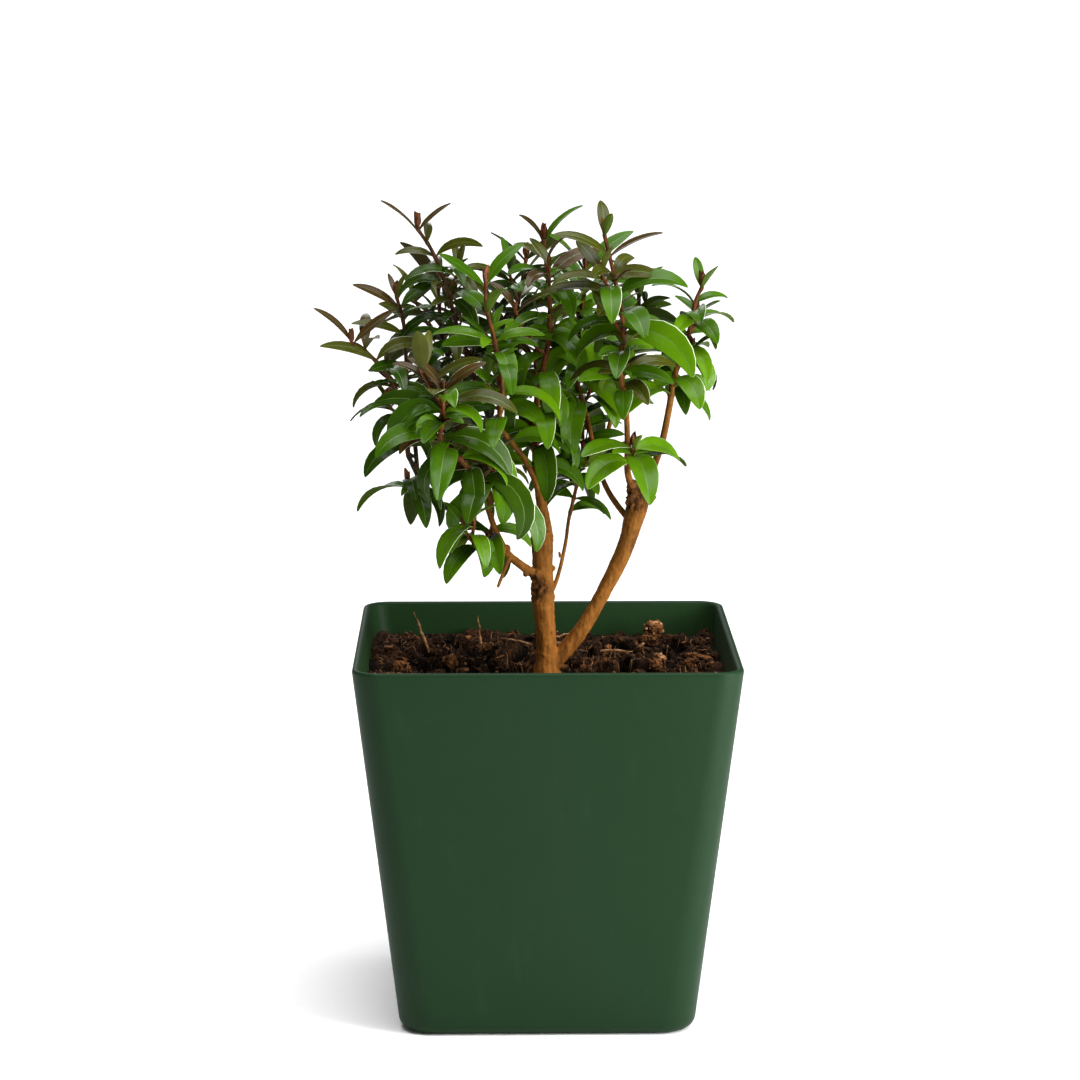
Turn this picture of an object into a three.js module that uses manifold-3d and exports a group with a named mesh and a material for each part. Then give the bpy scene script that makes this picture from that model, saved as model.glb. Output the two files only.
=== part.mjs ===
// Dwarf myrtle bonsai in a square plastic pot, in millimetres, +Z up.
// The origin is the centre of the pot's flat underside; +X is the plant's right and +Y its back.
// Trunk, boughs and foliage masses are separate solids, each 0.3 mm clear of the one that carries it.

import * as THREE from 'three';
import Module from 'manifold-3d';

const wasm = await Module();
wasm.setup();

// Driving dimensions

const CLEAR = 0.3;                    // gap between pieces that rest on or grow from each other

const POT = {
  rimWidth: 130.5, footWidth: 100.5, height: 128.5,
  wall: 2.6, floor: 3.4,
  rimCorner: 9.5, footCorner: 12, footRound: 4, cornerSteps: 4,
};
const SOIL = {
  level: 116.5, lump: 3, edgeRise: 1,
  seatRadius: 11, seatEdge: 1,        // flat place round the trunk, and the lip that leads up from it
  rows: [0.02, 0.14, 0.32, 0.52, 0.72, 0.9],   // rings of lumps, as shares of the way from wall to seat
};
const FOOT = new THREE.Vector3(0, -12, SOIL.level + CLEAR);   // flat cut of the trunk

const LEAF = {
  // Sections as [place along the midrib, share of the full width], for leaves on stems and on twigs
  stem: [[0, 0.17], [0.34, 1], [0.7, 0.8], [1, 0]],
  twig: [[0, 0.19], [0.45, 1.1], [1, 0]],
  gutter: 0.09,                       // the edges stand above the midrib by this share of the width
  thickness: 0.55,
  turnToLight: 0.7,                   // radians by which a leaf at the side turns its face outwards
  every: 3, kept: 1,                  // every third pair is left out of the solids, but not the last
  twigShare: 0.8,                     // leaf on a twig to leaf on a stem
};
const LIMB_STEP = 6;                  // along a trunk or bough
const STEM_SIDES = 4;
const STEM_TIP = 0.6;                 // radius at the end of a foliage stem
const TWIG_SIDES = 3;
const TWIG_RADII = [0.62, 0.5];
const TWIG_PAIRS = 4;                 // the lowest is hidden by the stem's own and left out
const MARGIN = 0.35;                  // space that a leaf or twig keeps to other pieces
const LARGEST_STEP = 13;              // along a foliage stem

// Colours from the plant: bark tan, young leaves olive and purple at the left and top

const COLOURS = {
  pot: 0x2d4b31, soil: 0x2a1a10, bark: 0x9a5b26, darkBark: 0x33271a,
  bright: 0x3f7d12, mid: 0x2f6212, olive: 0x39451f,
};

// Limbs: centre line, then radii from foot to tip. A limb starts inside the one that carries it
// and is cut clear of it.

const LIMBS = {
  trunk: {
    path: [FOOT.toArray(), [0, -12, 129], [-1, -11, 143], [-1, -10, 153], [-1.5, -9.5, 166]],
    radii: [4.9, 3.75, 3.6, 3.5, 3.6, 3.8, 3.9, 3.5, 3.4, 3.8, 3.6], sides: 12, colour: COLOURS.bark,
  },
  right_stem: {
    path: [[-1, -12, 118.5], [7, -11, 126], [15, -10, 137], [25.7, -7, 157], [30, -6, 170], [33.2, -5, 182]],
    radii: [3.0, 2.9, 2.7, 2.5, 2.55, 2.9, 3.0, 3.8, 3.7], sides: 10, colour: COLOURS.bark,
  },
  central_leader: {
    path: [[0, -9, 163], [-0.5, -9, 170], [-1.7, -8, 177], [-3, -6.5, 184]],
    radii: [2.7, 2.1, 1.8, 1.4], sides: 8, colour: COLOURS.bark,
  },
  left_bough: {
    path: [[-1, -10.5, 150], [-9, -14, 156], [-14, -18, 161.5], [-18, -22, 171], [-19.5, -23.7, 176]],
    radii: [1.9, 1.5, 1.3, 1.1, 1.0], sides: 6, colour: COLOURS.bark,
  },
  far_left_bough: {
    path: [[-15, -19, 164], [-26, -15, 172], [-35, -9, 175.5], [-42, -3.5, 182], [-47, 0, 191]],
    radii: [1.1, 1.0, 0.95, 0.95, 0.9], sides: 6, colour: COLOURS.darkBark,
  },
  left_low_bough: {
    path: [[-13.5, -17.6, 161], [-16, -20, 161.5], [-19, -22.5, 163]],
    radii: [0.9, 0.8, 0.75], sides: 5, colour: COLOURS.bark,
  },
  left_side_bough: {
    path: [[-39.5, -5.5, 179], [-41.5, -8.5, 179], [-44, -11, 180]],
    radii: [0.85, 0.8, 0.75], sides: 5, colour: COLOURS.darkBark,
  },
  left_upper_bough: {
    path: [[-44, -2, 185.5], [-45, 4, 195], [-47.5, 7.5, 208]],
    radii: [0.85, 0.8, 0.75], sides: 5, colour: COLOURS.darkBark,
  },
  left_top_bough: {
    path: [[-0.7, -8.8, 171], [-9, 2, 178], [-14, 7, 186], [-19, 11, 201], [-23, 13, 213]],
    radii: [1.4, 1.2, 1.1, 1.0, 0.9], sides: 6, colour: COLOURS.darkBark,
  },
  centre_left_bough: {
    path: [[-2.2, -7.4, 180], [-4.6, -10.5, 186], [-8, -12.8, 193]],
    radii: [1.0, 0.95, 0.9], sides: 5, colour: COLOURS.bark,
  },
  right_leader: {
    path: [[33, -5, 179], [36.5, -4, 187], [40, -2.5, 197], [42.5, -1, 209]],
    radii: [1.6, 1.35, 1.2, 1.15], sides: 6, colour: COLOURS.bark,
  },
  right_centre_bough: {
    path: [[32, -6, 178.5], [28, -12, 186], [27.5, -16, 197], [27, -19, 211]],
    radii: [1.5, 1.15, 1.05, 0.95], sides: 6, colour: COLOURS.bark,
  },
  right_low_bough: {
    path: [[27.8, -13, 188], [28, -16.5, 189], [28, -19.5, 190.5]],
    radii: [0.85, 0.8, 0.75], sides: 5, colour: COLOURS.bark,
  },
  inner_right_bough: {
    path: [[30, -6, 168], [22, 2, 178], [18, 8, 188], [14.5, 13, 203]],
    radii: [1.15, 1.0, 0.9, 0.85], sides: 6, colour: COLOURS.bark,
  },
  thin_back_stem: {
    path: [[-0.5, -10.5, 142], [3.5, -6, 148.5], [6.5, 0, 159], [8, 5, 168]],
    radii: [0.95, 0.75, 0.7, 0.65], sides: 5, colour: COLOURS.bark,
  },
  back_bough: {
    path: [[-1.5, -8.3, 174], [-1, 3, 183], [-5, 15, 195], [-8, 24, 210]],
    radii: [1.3, 1.1, 1.0, 0.85], sides: 6, colour: COLOURS.bark,
  },
  back_low_bough: {
    path: [[-1.6, 6, 186], [-7, 15, 187], [-14, 22, 190]],
    radii: [0.9, 0.85, 0.75], sides: 5, colour: COLOURS.bark,
  },
  back_left_bough: {
    path: [[-12, 5, 183], [-18, 15, 191], [-25, 24, 200], [-30, 29, 210]],
    radii: [1.0, 0.9, 0.85, 0.8], sides: 5, colour: COLOURS.darkBark,
  },
  back_right_bough: {
    path: [[18.3, 7.6, 187], [21, 16, 195], [25, 25, 206], [28, 30, 216]],
    radii: [0.9, 0.85, 0.8, 0.75], sides: 5, colour: COLOURS.bark,
  },
};

// Foliage masses: the stem carries on from its bough's tip through these points. Pairs of leaves
// stand crosswise along it, the first at the heading phase, and twigs leave it from some axils.
// A leaf's width is a share of its length, and faces is the side its mass is seen from. A short
// spur of low youth ends in open leaves, not in small upright ones.

const FRONT = 1;
const BACK = -1;

const MASSES = {
  centre_foliage: {
    bough: 'central_leader',
    stem: [[-3.5, -3.5, 194], [-2.9, -3.4, 211.7], [1, 2.4, 231.2], [1.3, 1, 246.8], [-0.7, 4.6, 265.3]],
    pairs: 13, phase: 30, leaf: 25, width: 0.34, hang: 2, faces: FRONT,
    twigs: 4, twigLength: 18, colour: COLOURS.mid, seed: 593,
  },
  centre_left_foliage: {
    bough: 'centre_left_bough',
    stem: [
      [-14.3, -13, 201.1], [-15.7, -15.8, 205.7], [-15, -18, 218.8], [-17.8, -18.4, 234.8],
      [-20.3, -17.7, 244.3], [-20.5, -16.6, 252.8],
    ],
    pairs: 7, phase: 20, leaf: 27, width: 0.34, hang: 1.3, faces: FRONT,
    twigs: 2, twigLength: 14, colour: COLOURS.mid, seed: 9518,
  },
  left_front_foliage: {
    bough: 'left_bough',
    stem: [
      [-19.6, -25.2, 183.3], [-29.2, -29.8, 194.6], [-35.6, -30.4, 200.5], [-34.8, -33.4, 211.6],
      [-41.7, -36.9, 224.9],
    ],
    pairs: 12, phase: 0, leaf: 28, width: 0.36, hang: 1.8, faces: FRONT,
    twigs: 3, twigLength: 13, colour: COLOURS.bright, seed: 375,
  },
  left_outer_foliage: {
    bough: 'far_left_bough',
    stem: [[-49.2, 1.5, 205.7], [-53.8, 0.7, 218.6], [-62.8, 1.8, 228.5], [-66.5, -0.6, 230.3]],
    pairs: 9, phase: 20, leaf: 23, width: 0.27, hang: 1.3, faces: FRONT,
    twigs: 1, twigLength: 8, colour: COLOURS.olive, seed: 4101,
  },
  left_side_foliage: {
    bough: 'left_side_bough',
    stem: [[-47.4, -13.7, 183.7]],
    pairs: 3, phase: 80, leaf: 24, width: 0.3, hang: 1.7, faces: FRONT,
    twigs: 0, twigLength: 9, colour: COLOURS.mid, seed: 2152, youth: 0.2,
  },
  left_upper_foliage: {
    bough: 'left_upper_bough',
    stem: [[-47.9, 9.8, 222.2], [-48.8, 10.6, 236], [-51, 3.8, 246]],
    pairs: 8, phase: 30, leaf: 20, width: 0.26, hang: 0.4, faces: FRONT,
    twigs: 0, twigLength: 10, colour: COLOURS.olive, seed: 41,
  },
  left_top_foliage: {
    bough: 'left_top_bough',
    stem: [[-29.8, 14.6, 232.2], [-33.8, 10.3, 247.9], [-38.6, 9.2, 260.6], [-43.9, 6.9, 269]],
    pairs: 11, phase: 10, leaf: 24, width: 0.25, hang: 1.8, faces: FRONT,
    twigs: 2, twigLength: 7, colour: COLOURS.olive, seed: 3385,
  },
  left_low_foliage: {
    bough: 'left_low_bough',
    stem: [[-24.7, -23.3, 164.8], [-24.7, -28.9, 172.1]],
    pairs: 3, phase: 30, leaf: 24, width: 0.34, hang: 2, faces: FRONT,
    twigs: 2, twigLength: 10, colour: COLOURS.bright, seed: 776, youth: 0.2,
  },
  right_foliage: {
    bough: 'right_leader',
    stem: [[44.1, 0, 218.7], [48.6, 4.2, 230.7], [51.3, 4.5, 243.7], [53.7, 3.7, 249.1]],
    pairs: 8, phase: 20, leaf: 22, width: 0.42, hang: 2, faces: FRONT,
    twigs: 3, twigLength: 9, colour: COLOURS.bright, seed: 8713,
  },
  right_low_foliage: {
    bough: 'right_low_bough',
    stem: [[28.3, -21.1, 192.4], [29.5, -22.1, 197.2]],
    pairs: 3, phase: 20, leaf: 29, width: 0.38, hang: 1, faces: FRONT,
    twigs: 0, twigLength: 7, colour: COLOURS.bright, seed: 97, youth: 0.2,
  },
  right_centre_foliage: {
    bough: 'right_centre_bough',
    stem: [[24.8, -18.4, 223.6], [26, -17.8, 236.6], [23.6, -19, 251], [19.4, -14.5, 268.9]],
    pairs: 9, phase: 80, leaf: 27, width: 0.38, hang: 1.1, faces: FRONT,
    twigs: 3, twigLength: 10, colour: COLOURS.bright, seed: 7090,
  },
  inner_right_foliage: {
    bough: 'inner_right_bough',
    stem: [[11, 15.1, 217.5], [12.6, 20, 235.3], [14.2, 20.2, 253.8]],
    pairs: 7, phase: 45, leaf: 27, width: 0.36, hang: 2, faces: FRONT,
    twigs: 4, twigLength: 7, colour: COLOURS.mid, seed: 938,
  },
  inner_foliage: {
    bough: 'thin_back_stem',
    stem: [[11.9, 10.8, 184.5], [13, 14.2, 197.8], [8.9, 19.9, 205.4]],
    pairs: 9, phase: 60, leaf: 22, width: 0.32, hang: 1.1, faces: FRONT,
    twigs: 1, twigLength: 9, colour: COLOURS.mid, seed: 798,
  },
  back_left_foliage: {
    bough: 'back_left_bough',
    stem: [[-35.8, 32.5, 229], [-37.1, 33.5, 246.3]],
    pairs: 7, phase: 30, leaf: 27, width: 0.28, hang: 1.5, faces: BACK,
    twigs: 2, twigLength: 15, colour: COLOURS.olive, seed: 707,
  },
  back_foliage: {
    bough: 'back_bough',
    stem: [[-10.2, 31, 231.8], [-6.3, 34.7, 256.2]],
    pairs: 10, phase: 60, leaf: 27, width: 0.32, hang: 0.4, faces: BACK,
    twigs: 3, twigLength: 18, colour: COLOURS.mid, seed: 1867,
  },
  back_low_foliage: {
    bough: 'back_low_bough',
    stem: [[-20.5, 28.8, 195.4]],
    pairs: 7, phase: 80, leaf: 24, width: 0.32, hang: 0.9, faces: BACK,
    twigs: 0, twigLength: 7, colour: COLOURS.mid, seed: 3927,
  },
  back_right_foliage: {
    bough: 'back_right_bough',
    stem: [[33.1, 32.7, 233.4], [32.9, 36, 246.1]],
    pairs: 8, phase: 60, leaf: 22, width: 0.34, hang: 0.5, faces: BACK,
    twigs: 2, twigLength: 11, colour: COLOURS.mid, seed: 3354,
  },
};

// Closed meshes and solids

function solidFrom(vertices, triangles) {
  const points = Float32Array.from(vertices.flatMap((vertex) => vertex.toArray()));
  const faces = volumeOf(vertices, triangles) < 0 ? triangles.map(([a, b, c]) => [a, c, b]) : triangles;
  const triVerts = Uint32Array.from(faces.flat());
  return new wasm.Manifold(new wasm.Mesh({ numProp: 3, vertProperties: points, triVerts }));
}

function volumeOf(vertices, triangles) {
  const sum = triangles.reduce((total, [a, b, c]) => (
    total + vertices[a].dot(vertices[b].clone().cross(vertices[c]))), 0);
  return sum / 6;
}

// Skin over a stack of rings with the same number of points, closed by a flat fan at each end
function loft(rings) {
  const count = rings[0].length;
  const vertices = rings.flat();
  const triangles = [];
  for (let ring = 0; ring + 1 < rings.length; ring += 1) {
    for (let i = 0; i < count; i += 1) {
      const a = ring * count + i;
      const b = ring * count + (i + 1) % count;
      triangles.push([a, b, b + count], [a, b + count, a + count]);
    }
  }
  const last = (rings.length - 1) * count;
  for (let i = 1; i + 1 < count; i += 1) {
    triangles.push([0, i + 1, i], [last, last + i, last + i + 1]);
  }
  return solidFrom(vertices, triangles);
}

// The largest body of a cut or joined solid: scraps are dropped and sealed hollows are filled
function mainBody(solid) {
  return solid.decompose().reduce((best, body) => (body.volume() > best.volume() ? body : best));
}

function toMesh(name, solid, colour, roughness) {
  const { vertProperties, triVerts, numProp } = solid.getMesh();
  const position = new Float32Array(vertProperties.length / numProp * 3);
  for (let i = 0; i < position.length / 3; i += 1) {
    position.set(vertProperties.subarray(i * numProp, i * numProp + 3), i * 3);
  }
  const geometry = new THREE.BufferGeometry();
  geometry.setAttribute('position', new THREE.BufferAttribute(position, 3));
  geometry.setIndex([...triVerts]);
  geometry.computeVertexNormals();
  const material = new THREE.MeshStandardMaterial({ color: colour, roughness, metalness: 0 });
  const mesh = new THREE.Mesh(geometry, material);
  mesh.name = name;
  return mesh;
}

// Seeded draws between two values

function dice(seed) {
  let state = seed * 7919;
  return (low, high) => {
    state = (state * 1664525 + 1013904223) % 4294967296;
    return low + (high - low) * state / 4294967296;
  };
}

// Pot and potting mix

function roundedSquare(halfWidth, corner, z) {
  const ring = [];
  for (let quarter = 0; quarter < 4; quarter += 1) {
    for (let step = 0; step <= POT.cornerSteps; step += 1) {
      const angle = (quarter + step / POT.cornerSteps) * Math.PI / 2;
      const middle = (quarter + 0.5) * Math.PI / 2;
      const centre = (halfWidth - corner) * Math.SQRT2;
      ring.push(new THREE.Vector3(
        centre * Math.cos(middle) + corner * Math.cos(angle),
        centre * Math.sin(middle) + corner * Math.sin(angle), z));
    }
  }
  return ring;
}

// Half width and corner radius of the pot's outside at a height
function potOutside(z) {
  const t = z / POT.height;
  return {
    half: THREE.MathUtils.lerp(POT.footWidth, POT.rimWidth, t) / 2,
    corner: THREE.MathUtils.lerp(POT.footCorner, POT.rimCorner, t),
  };
}

function potRing(z, inset) {
  const { half, corner } = potOutside(z);
  return roundedSquare(half - inset, Math.max(corner - inset, 1), z);
}

function buildPot() {
  const rings = [];
  for (const angle of [0, 30, 60, 90].map(THREE.MathUtils.degToRad)) {
    const height = POT.footRound * (1 - Math.cos(angle));
    rings.push(potRing(height, POT.footRound * (1 - Math.sin(angle))));
  }
  const lip = POT.wall / 2;
  for (const angle of [0, 45, 90, 135, 180].map(THREE.MathUtils.degToRad)) {
    rings.push(potRing(POT.height - lip + lip * Math.sin(angle), lip * (1 - Math.cos(angle))));
  }
  rings.push(potRing(POT.floor + POT.footRound, POT.wall));
  rings.push(potRing(POT.floor, POT.wall + POT.footRound));
  return loft(rings);
}

// Lumpy top of the mix: a flat seat round the trunk's foot, rising a little towards the wall
function buildSoil() {
  const draw = dice(3);
  const inset = POT.wall + CLEAR;
  const rings = [
    potRing(POT.floor + CLEAR, POT.wall + POT.footRound + CLEAR * 2),
    potRing(POT.floor + POT.footRound + CLEAR, inset),
  ];
  const edge = potRing(SOIL.level, inset);
  rings.push(edge);
  const middle = new THREE.Vector3(FOOT.x, FOOT.y, SOIL.level);
  for (const share of SOIL.rows) {
    rings.push(edge.map((corner) => {
      const out = corner.clone().sub(middle);
      const point = out.setLength(THREE.MathUtils.lerp(out.length(), SOIL.seatRadius, share)).add(middle);
      point.z += CLEAR + SOIL.edgeRise * (1 - share) + draw(0, SOIL.lump);
      return point;
    }));
  }
  rings.push(edge.map((corner) => (
    corner.clone().sub(middle).setLength(SOIL.seatRadius - SOIL.seatEdge).add(middle))));
  return loft(rings);
}

// Tapering limbs

function spacedLine(points, steps) {
  const through = points.map((point) => new THREE.Vector3(...point));
  return new THREE.CatmullRomCurve3(through, false, 'catmullrom', 0.5).getSpacedPoints(steps);
}

function lineLength(points) {
  return new THREE.CatmullRomCurve3(points.map((point) => new THREE.Vector3(...point))).getLength();
}

function valueAlong(values, t) {
  const place = t * (values.length - 1);
  const index = Math.min(Math.floor(place), values.length - 2);
  return THREE.MathUtils.lerp(values[index], values[index + 1], place - index);
}

// Tube of a tapering round or many-sided section along a line, its sections turned as little as can be
function taperedTube(line, radiusAt, sides) {
  const rings = [];
  const last = line.length - 1;
  let across = new THREE.Vector3(1, 0, 0);
  for (let i = 0; i <= last; i += 1) {
    const along = line[Math.min(i + 1, last)].clone().sub(line[Math.max(i - 1, 0)]).normalize();
    if (Math.abs(across.dot(along)) > 0.95) {
      across = new THREE.Vector3(0, 1, 0);
    }
    across.addScaledVector(along, -across.dot(along)).normalize();
    const third = along.clone().cross(across);
    const ring = [];
    for (let side = 0; side < sides; side += 1) {
      const angle = side / sides * Math.PI * 2;
      const radius = radiusAt(i / last);
      ring.push(line[i].clone()
        .addScaledVector(across, radius * Math.cos(angle))
        .addScaledVector(third, radius * Math.sin(angle)));
    }
    rings.push(ring);
  }
  return loft(rings);
}

function limbSolid(limb, grow = 0) {
  const line = spacedLine(limb.path, Math.max(3, Math.round(lineLength(limb.path) / LIMB_STEP)));
  return taperedTube(line, (t) => valueAlong(limb.radii, t) + grow, limb.sides);
}

function buildLimbs() {
  const solids = {};
  for (const [name, limb] of Object.entries(LIMBS)) {
    let solid = limbSolid(limb);
    for (const earlier of Object.keys(solids)) {
      solid = solid.subtract(limbSolid(LIMBS[earlier], CLEAR));
    }
    solids[name] = mainBody(solid);
  }
  return solids;
}

// Leaves: a thin blade with a folded midrib, arching from its rise at the root to its droop at the tip

function leafSolid(leaf, { grow = 0, first = 0 } = {}) {
  const out = new THREE.Vector3(Math.cos(leaf.heading), Math.sin(leaf.heading), 0);
  const up = new THREE.Vector3(0, 0, 1);
  const level = new THREE.Vector3(-out.y, out.x, 0);
  const width = leaf.length * leaf.width;
  const rib = leaf.root.clone();
  const vertices = [];
  const sections = LEAF[leaf.carrier];
  const last = sections.length - 1;
  for (let i = 0; i <= last; i += 1) {
    const [t, share] = sections[i];
    const slope = THREE.MathUtils.lerp(leaf.rise, leaf.droop, t);
    const along = out.clone().multiplyScalar(Math.cos(slope)).addScaledVector(up, Math.sin(slope));
    const over = along.clone().cross(level).negate();
    const side = level.clone().multiplyScalar(Math.cos(leaf.roll)).addScaledVector(over, Math.sin(leaf.roll));
    const normal = side.clone().cross(along).negate();
    if (i === last) {
      vertices.push(rib.clone().addScaledVector(along, grow));
      break;
    }
    if (i >= first) {
      const half = width * share / 2 + grow;
      const lift = width * share * LEAF.gutter + grow;
      vertices.push(rib.clone().addScaledVector(side, half).addScaledVector(normal, lift));
      vertices.push(rib.clone().addScaledVector(side, -half).addScaledVector(normal, lift));
      vertices.push(rib.clone().addScaledVector(normal, -LEAF.thickness * (1 - t / 2) - grow));
    }
    const nextT = sections[i + 1][0];
    const nextSlope = THREE.MathUtils.lerp(leaf.rise, leaf.droop, (t + nextT) / 2);
    const step = leaf.length * (nextT - t);
    rib.addScaledVector(out, step * Math.cos(nextSlope)).addScaledVector(up, step * Math.sin(nextSlope));
  }
  const triangles = [[0, 1, 2]];
  const tip = vertices.length - 1;
  for (let i = 0; i < last - 1 - first; i += 1) {
    for (let side = 0; side < 3; side += 1) {
      const a = i * 3 + side;
      const b = i * 3 + (side + 1) % 3;
      triangles.push([a, b + 3, b], [a, a + 3, b + 3]);
    }
  }
  triangles.push([tip - 3, tip, tip - 2], [tip - 2, tip, tip - 1], [tip - 1, tip, tip - 3]);
  return solidFrom(vertices, triangles);
}

// Crosswise pairs of leaves along a line. Lower leaves reach out and hang, the last ones stand up,
// and a leaf to either side turns its upper face to the light outside its mass.
function leafPairs(line, options, draw) {
  const leaves = [];
  for (let pair = 0; pair < options.pairs; pair += 1) {
    const t = (pair + 0.6) / (options.pairs - 0.25);
    const place = t * (line.length - 1);
    const index = Math.min(Math.floor(place), line.length - 2);
    const root = line[index].clone().lerp(line[index + 1], place - index);
    const young = (options.youth ?? 1) * Math.max(0, (t - 0.5) / 0.5);
    const turn = THREE.MathUtils.degToRad(options.phase + 90 * pair + draw(-18, 18));
    for (const half of [0, Math.PI]) {
      const heading = turn + half + draw(-0.25, 0.25);
      leaves.push({
        root,
        carrier: options.carrier,
        heading,
        length: options.leaf * draw(0.7, 1.2) * (1 - 0.25 * young),
        width: options.width * (1 - 0.3 * young),
        rise: draw(0.2, 0.7) + 0.55 * young,
        droop: draw(-1.35, -0.6) * options.hang * (1 - young) + 0.45 * young,
        roll: draw(-0.35, 0.35) - LEAF.turnToLight * Math.cos(heading) * options.faces,
        made: pair % LEAF.every !== LEAF.every - 1 || pair >= options.pairs - LEAF.kept,
      });
    }
  }
  return leaves;
}

// One mass: the stem, twigs from some of its axils, and their leaves
function massForms(mass, start, along) {
  const draw = dice(mass.seed);
  const first = start.clone().addScaledVector(along, CLEAR);
  const points = [first.toArray(), ...mass.stem];
  const line = spacedLine(points, Math.max(2, Math.round(lineLength(points) / LARGEST_STEP)));
  const stemLeaves = leafPairs(line, { ...mass, carrier: 'stem' }, draw);
  const twigs = [];
  for (let i = 0; i < mass.twigs; i += 1) {
    const axil = stemLeaves[2 * Math.floor((i + 0.4) / mass.twigs * (mass.pairs - 2)) + i % 2];
    const heading = axil.heading + draw(-0.3, 0.3);
    const slope = draw(0.5, 0.9);
    const reach = mass.twigLength * draw(0.8, 1.15);
    const twigLine = [axil.root.clone(), ...[0, 0.4].map((bend) => new THREE.Vector3(
      Math.cos(heading) * Math.cos(slope + bend), Math.sin(heading) * Math.cos(slope + bend),
      Math.sin(slope + bend)).multiplyScalar(reach / 2))];
    twigLine[1].add(twigLine[0]);
    twigLine[2].add(twigLine[1]);
    const options = {
      ...mass, carrier: 'twig', pairs: TWIG_PAIRS, phase: draw(0, 90), leaf: mass.leaf * LEAF.twigShare,
    };
    twigs.push({ line: twigLine, leaves: leafPairs(twigLine, options, draw).slice(2) });
  }
  return { line, stemLeaves, twigs };
}

// Everything that is placed, for the test of a new leaf or twig against other pieces
const placed = [];

function place(owner, solid) {
  placed.push({ owner, solid, box: solid.boundingBox() });
}

function isClear(solid, others) {
  const box = solid.boundingBox();
  return others.every((other) => (
    [0, 1, 2].some((axis) => box.max[axis] < other.box.min[axis] || box.min[axis] > other.box.max[axis])
    || solid.intersect(other.solid).isEmpty()));
}

// A grown copy of a leaf or twig has to be clear of the other pieces, and its blade of its own mass
function isFree(owner, grown, blade) {
  return isClear(grown, placed.filter((other) => other.owner !== owner))
    && isClear(blade, placed.filter((other) => other.owner === owner));
}

// Every mass's stem is placed before the first leaf, so that no leaf grows through one
function startMass(name, mass) {
  const bough = LIMBS[mass.bough];
  const tip = new THREE.Vector3(...bough.path.at(-1));
  const along = tip.clone().sub(spacedLine(bough.path, 40)[39]).normalize();
  const forms = massForms(mass, tip, along);
  const radius = (t) => THREE.MathUtils.lerp(bough.radii.at(-1), STEM_TIP, t);
  const stem = taperedTube(forms.line, radius, STEM_SIDES);
  place(name, stem);
  return { stem, ...forms };
}

// Twigs and leaves follow, each where it has room
function fillMass(name, { stem, stemLeaves, twigs }) {
  const parts = [stem];
  const twigRadius = (t) => THREE.MathUtils.lerp(...TWIG_RADII, t);
  const leaves = [...stemLeaves];
  for (const twig of twigs) {
    const grown = taperedTube(twig.line, (t) => twigRadius(t) + MARGIN, TWIG_SIDES);
    const outerHalf = taperedTube(twig.line.slice(1), twigRadius, TWIG_SIDES);
    if (isFree(name, grown, outerHalf)) {
      parts.push(taperedTube(twig.line, twigRadius, TWIG_SIDES));
      place(name, parts.at(-1));
      leaves.push(...twig.leaves);
    }
  }
  for (const leaf of leaves.filter(({ made }) => made)) {
    if (isFree(name, leafSolid(leaf, { grow: MARGIN }), leafSolid(leaf, { first: 1 }))) {
      parts.push(leafSolid(leaf));
      place(name, parts.at(-1));
    }
  }
  return mainBody(wasm.Manifold.union(parts));
}

// The whole plant in its pot

const plant = new THREE.Group();
plant.name = 'dwarf_myrtle_bonsai';
plant.add(toMesh('pot', buildPot(), COLOURS.pot, 0.6));
plant.add(toMesh('potting_mix', buildSoil(), COLOURS.soil, 0.95));

const limbSolids = buildLimbs();
for (const [name, solid] of Object.entries(limbSolids)) {
  plant.add(toMesh(name, solid, LIMBS[name].colour, 0.8));
  place(name, solid);
}
const masses = Object.entries(MASSES).map(([name, mass]) => [name, startMass(name, mass)]);
for (const [name, forms] of masses) {
  plant.add(toMesh(name, fillMass(name, forms), MASSES[name].colour, 0.45));
}

export default plant;
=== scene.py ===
"""The dwarf myrtle in its pot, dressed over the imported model."""

import math

import bmesh
import bpy
import numpy as np
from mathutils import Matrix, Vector, noise


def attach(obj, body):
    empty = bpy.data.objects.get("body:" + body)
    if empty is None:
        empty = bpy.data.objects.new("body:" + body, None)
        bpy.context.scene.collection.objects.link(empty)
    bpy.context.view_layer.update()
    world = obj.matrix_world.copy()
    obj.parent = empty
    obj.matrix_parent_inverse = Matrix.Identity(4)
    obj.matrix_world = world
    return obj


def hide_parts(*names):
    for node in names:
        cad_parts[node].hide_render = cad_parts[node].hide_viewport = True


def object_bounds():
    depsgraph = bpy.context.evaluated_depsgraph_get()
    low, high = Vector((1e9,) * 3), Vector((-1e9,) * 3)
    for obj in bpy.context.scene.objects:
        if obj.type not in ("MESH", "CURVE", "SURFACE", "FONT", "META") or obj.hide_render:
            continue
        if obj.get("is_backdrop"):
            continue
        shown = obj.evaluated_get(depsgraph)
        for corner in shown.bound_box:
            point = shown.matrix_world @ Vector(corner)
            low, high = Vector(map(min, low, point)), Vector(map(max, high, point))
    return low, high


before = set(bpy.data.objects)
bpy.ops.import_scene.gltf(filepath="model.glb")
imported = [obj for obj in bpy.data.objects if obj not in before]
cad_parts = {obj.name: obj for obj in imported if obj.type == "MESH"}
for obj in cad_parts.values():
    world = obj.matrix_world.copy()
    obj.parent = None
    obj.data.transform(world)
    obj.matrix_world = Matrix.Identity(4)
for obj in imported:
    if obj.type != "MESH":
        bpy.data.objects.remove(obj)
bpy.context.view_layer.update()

# Pot
# A thin square nursery pot, moulded in dark green polypropylene with a soft lip and a closed flat foot.
# One skin of rounded squares runs from the middle of the foot up the outside and down to the inner floor.

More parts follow.
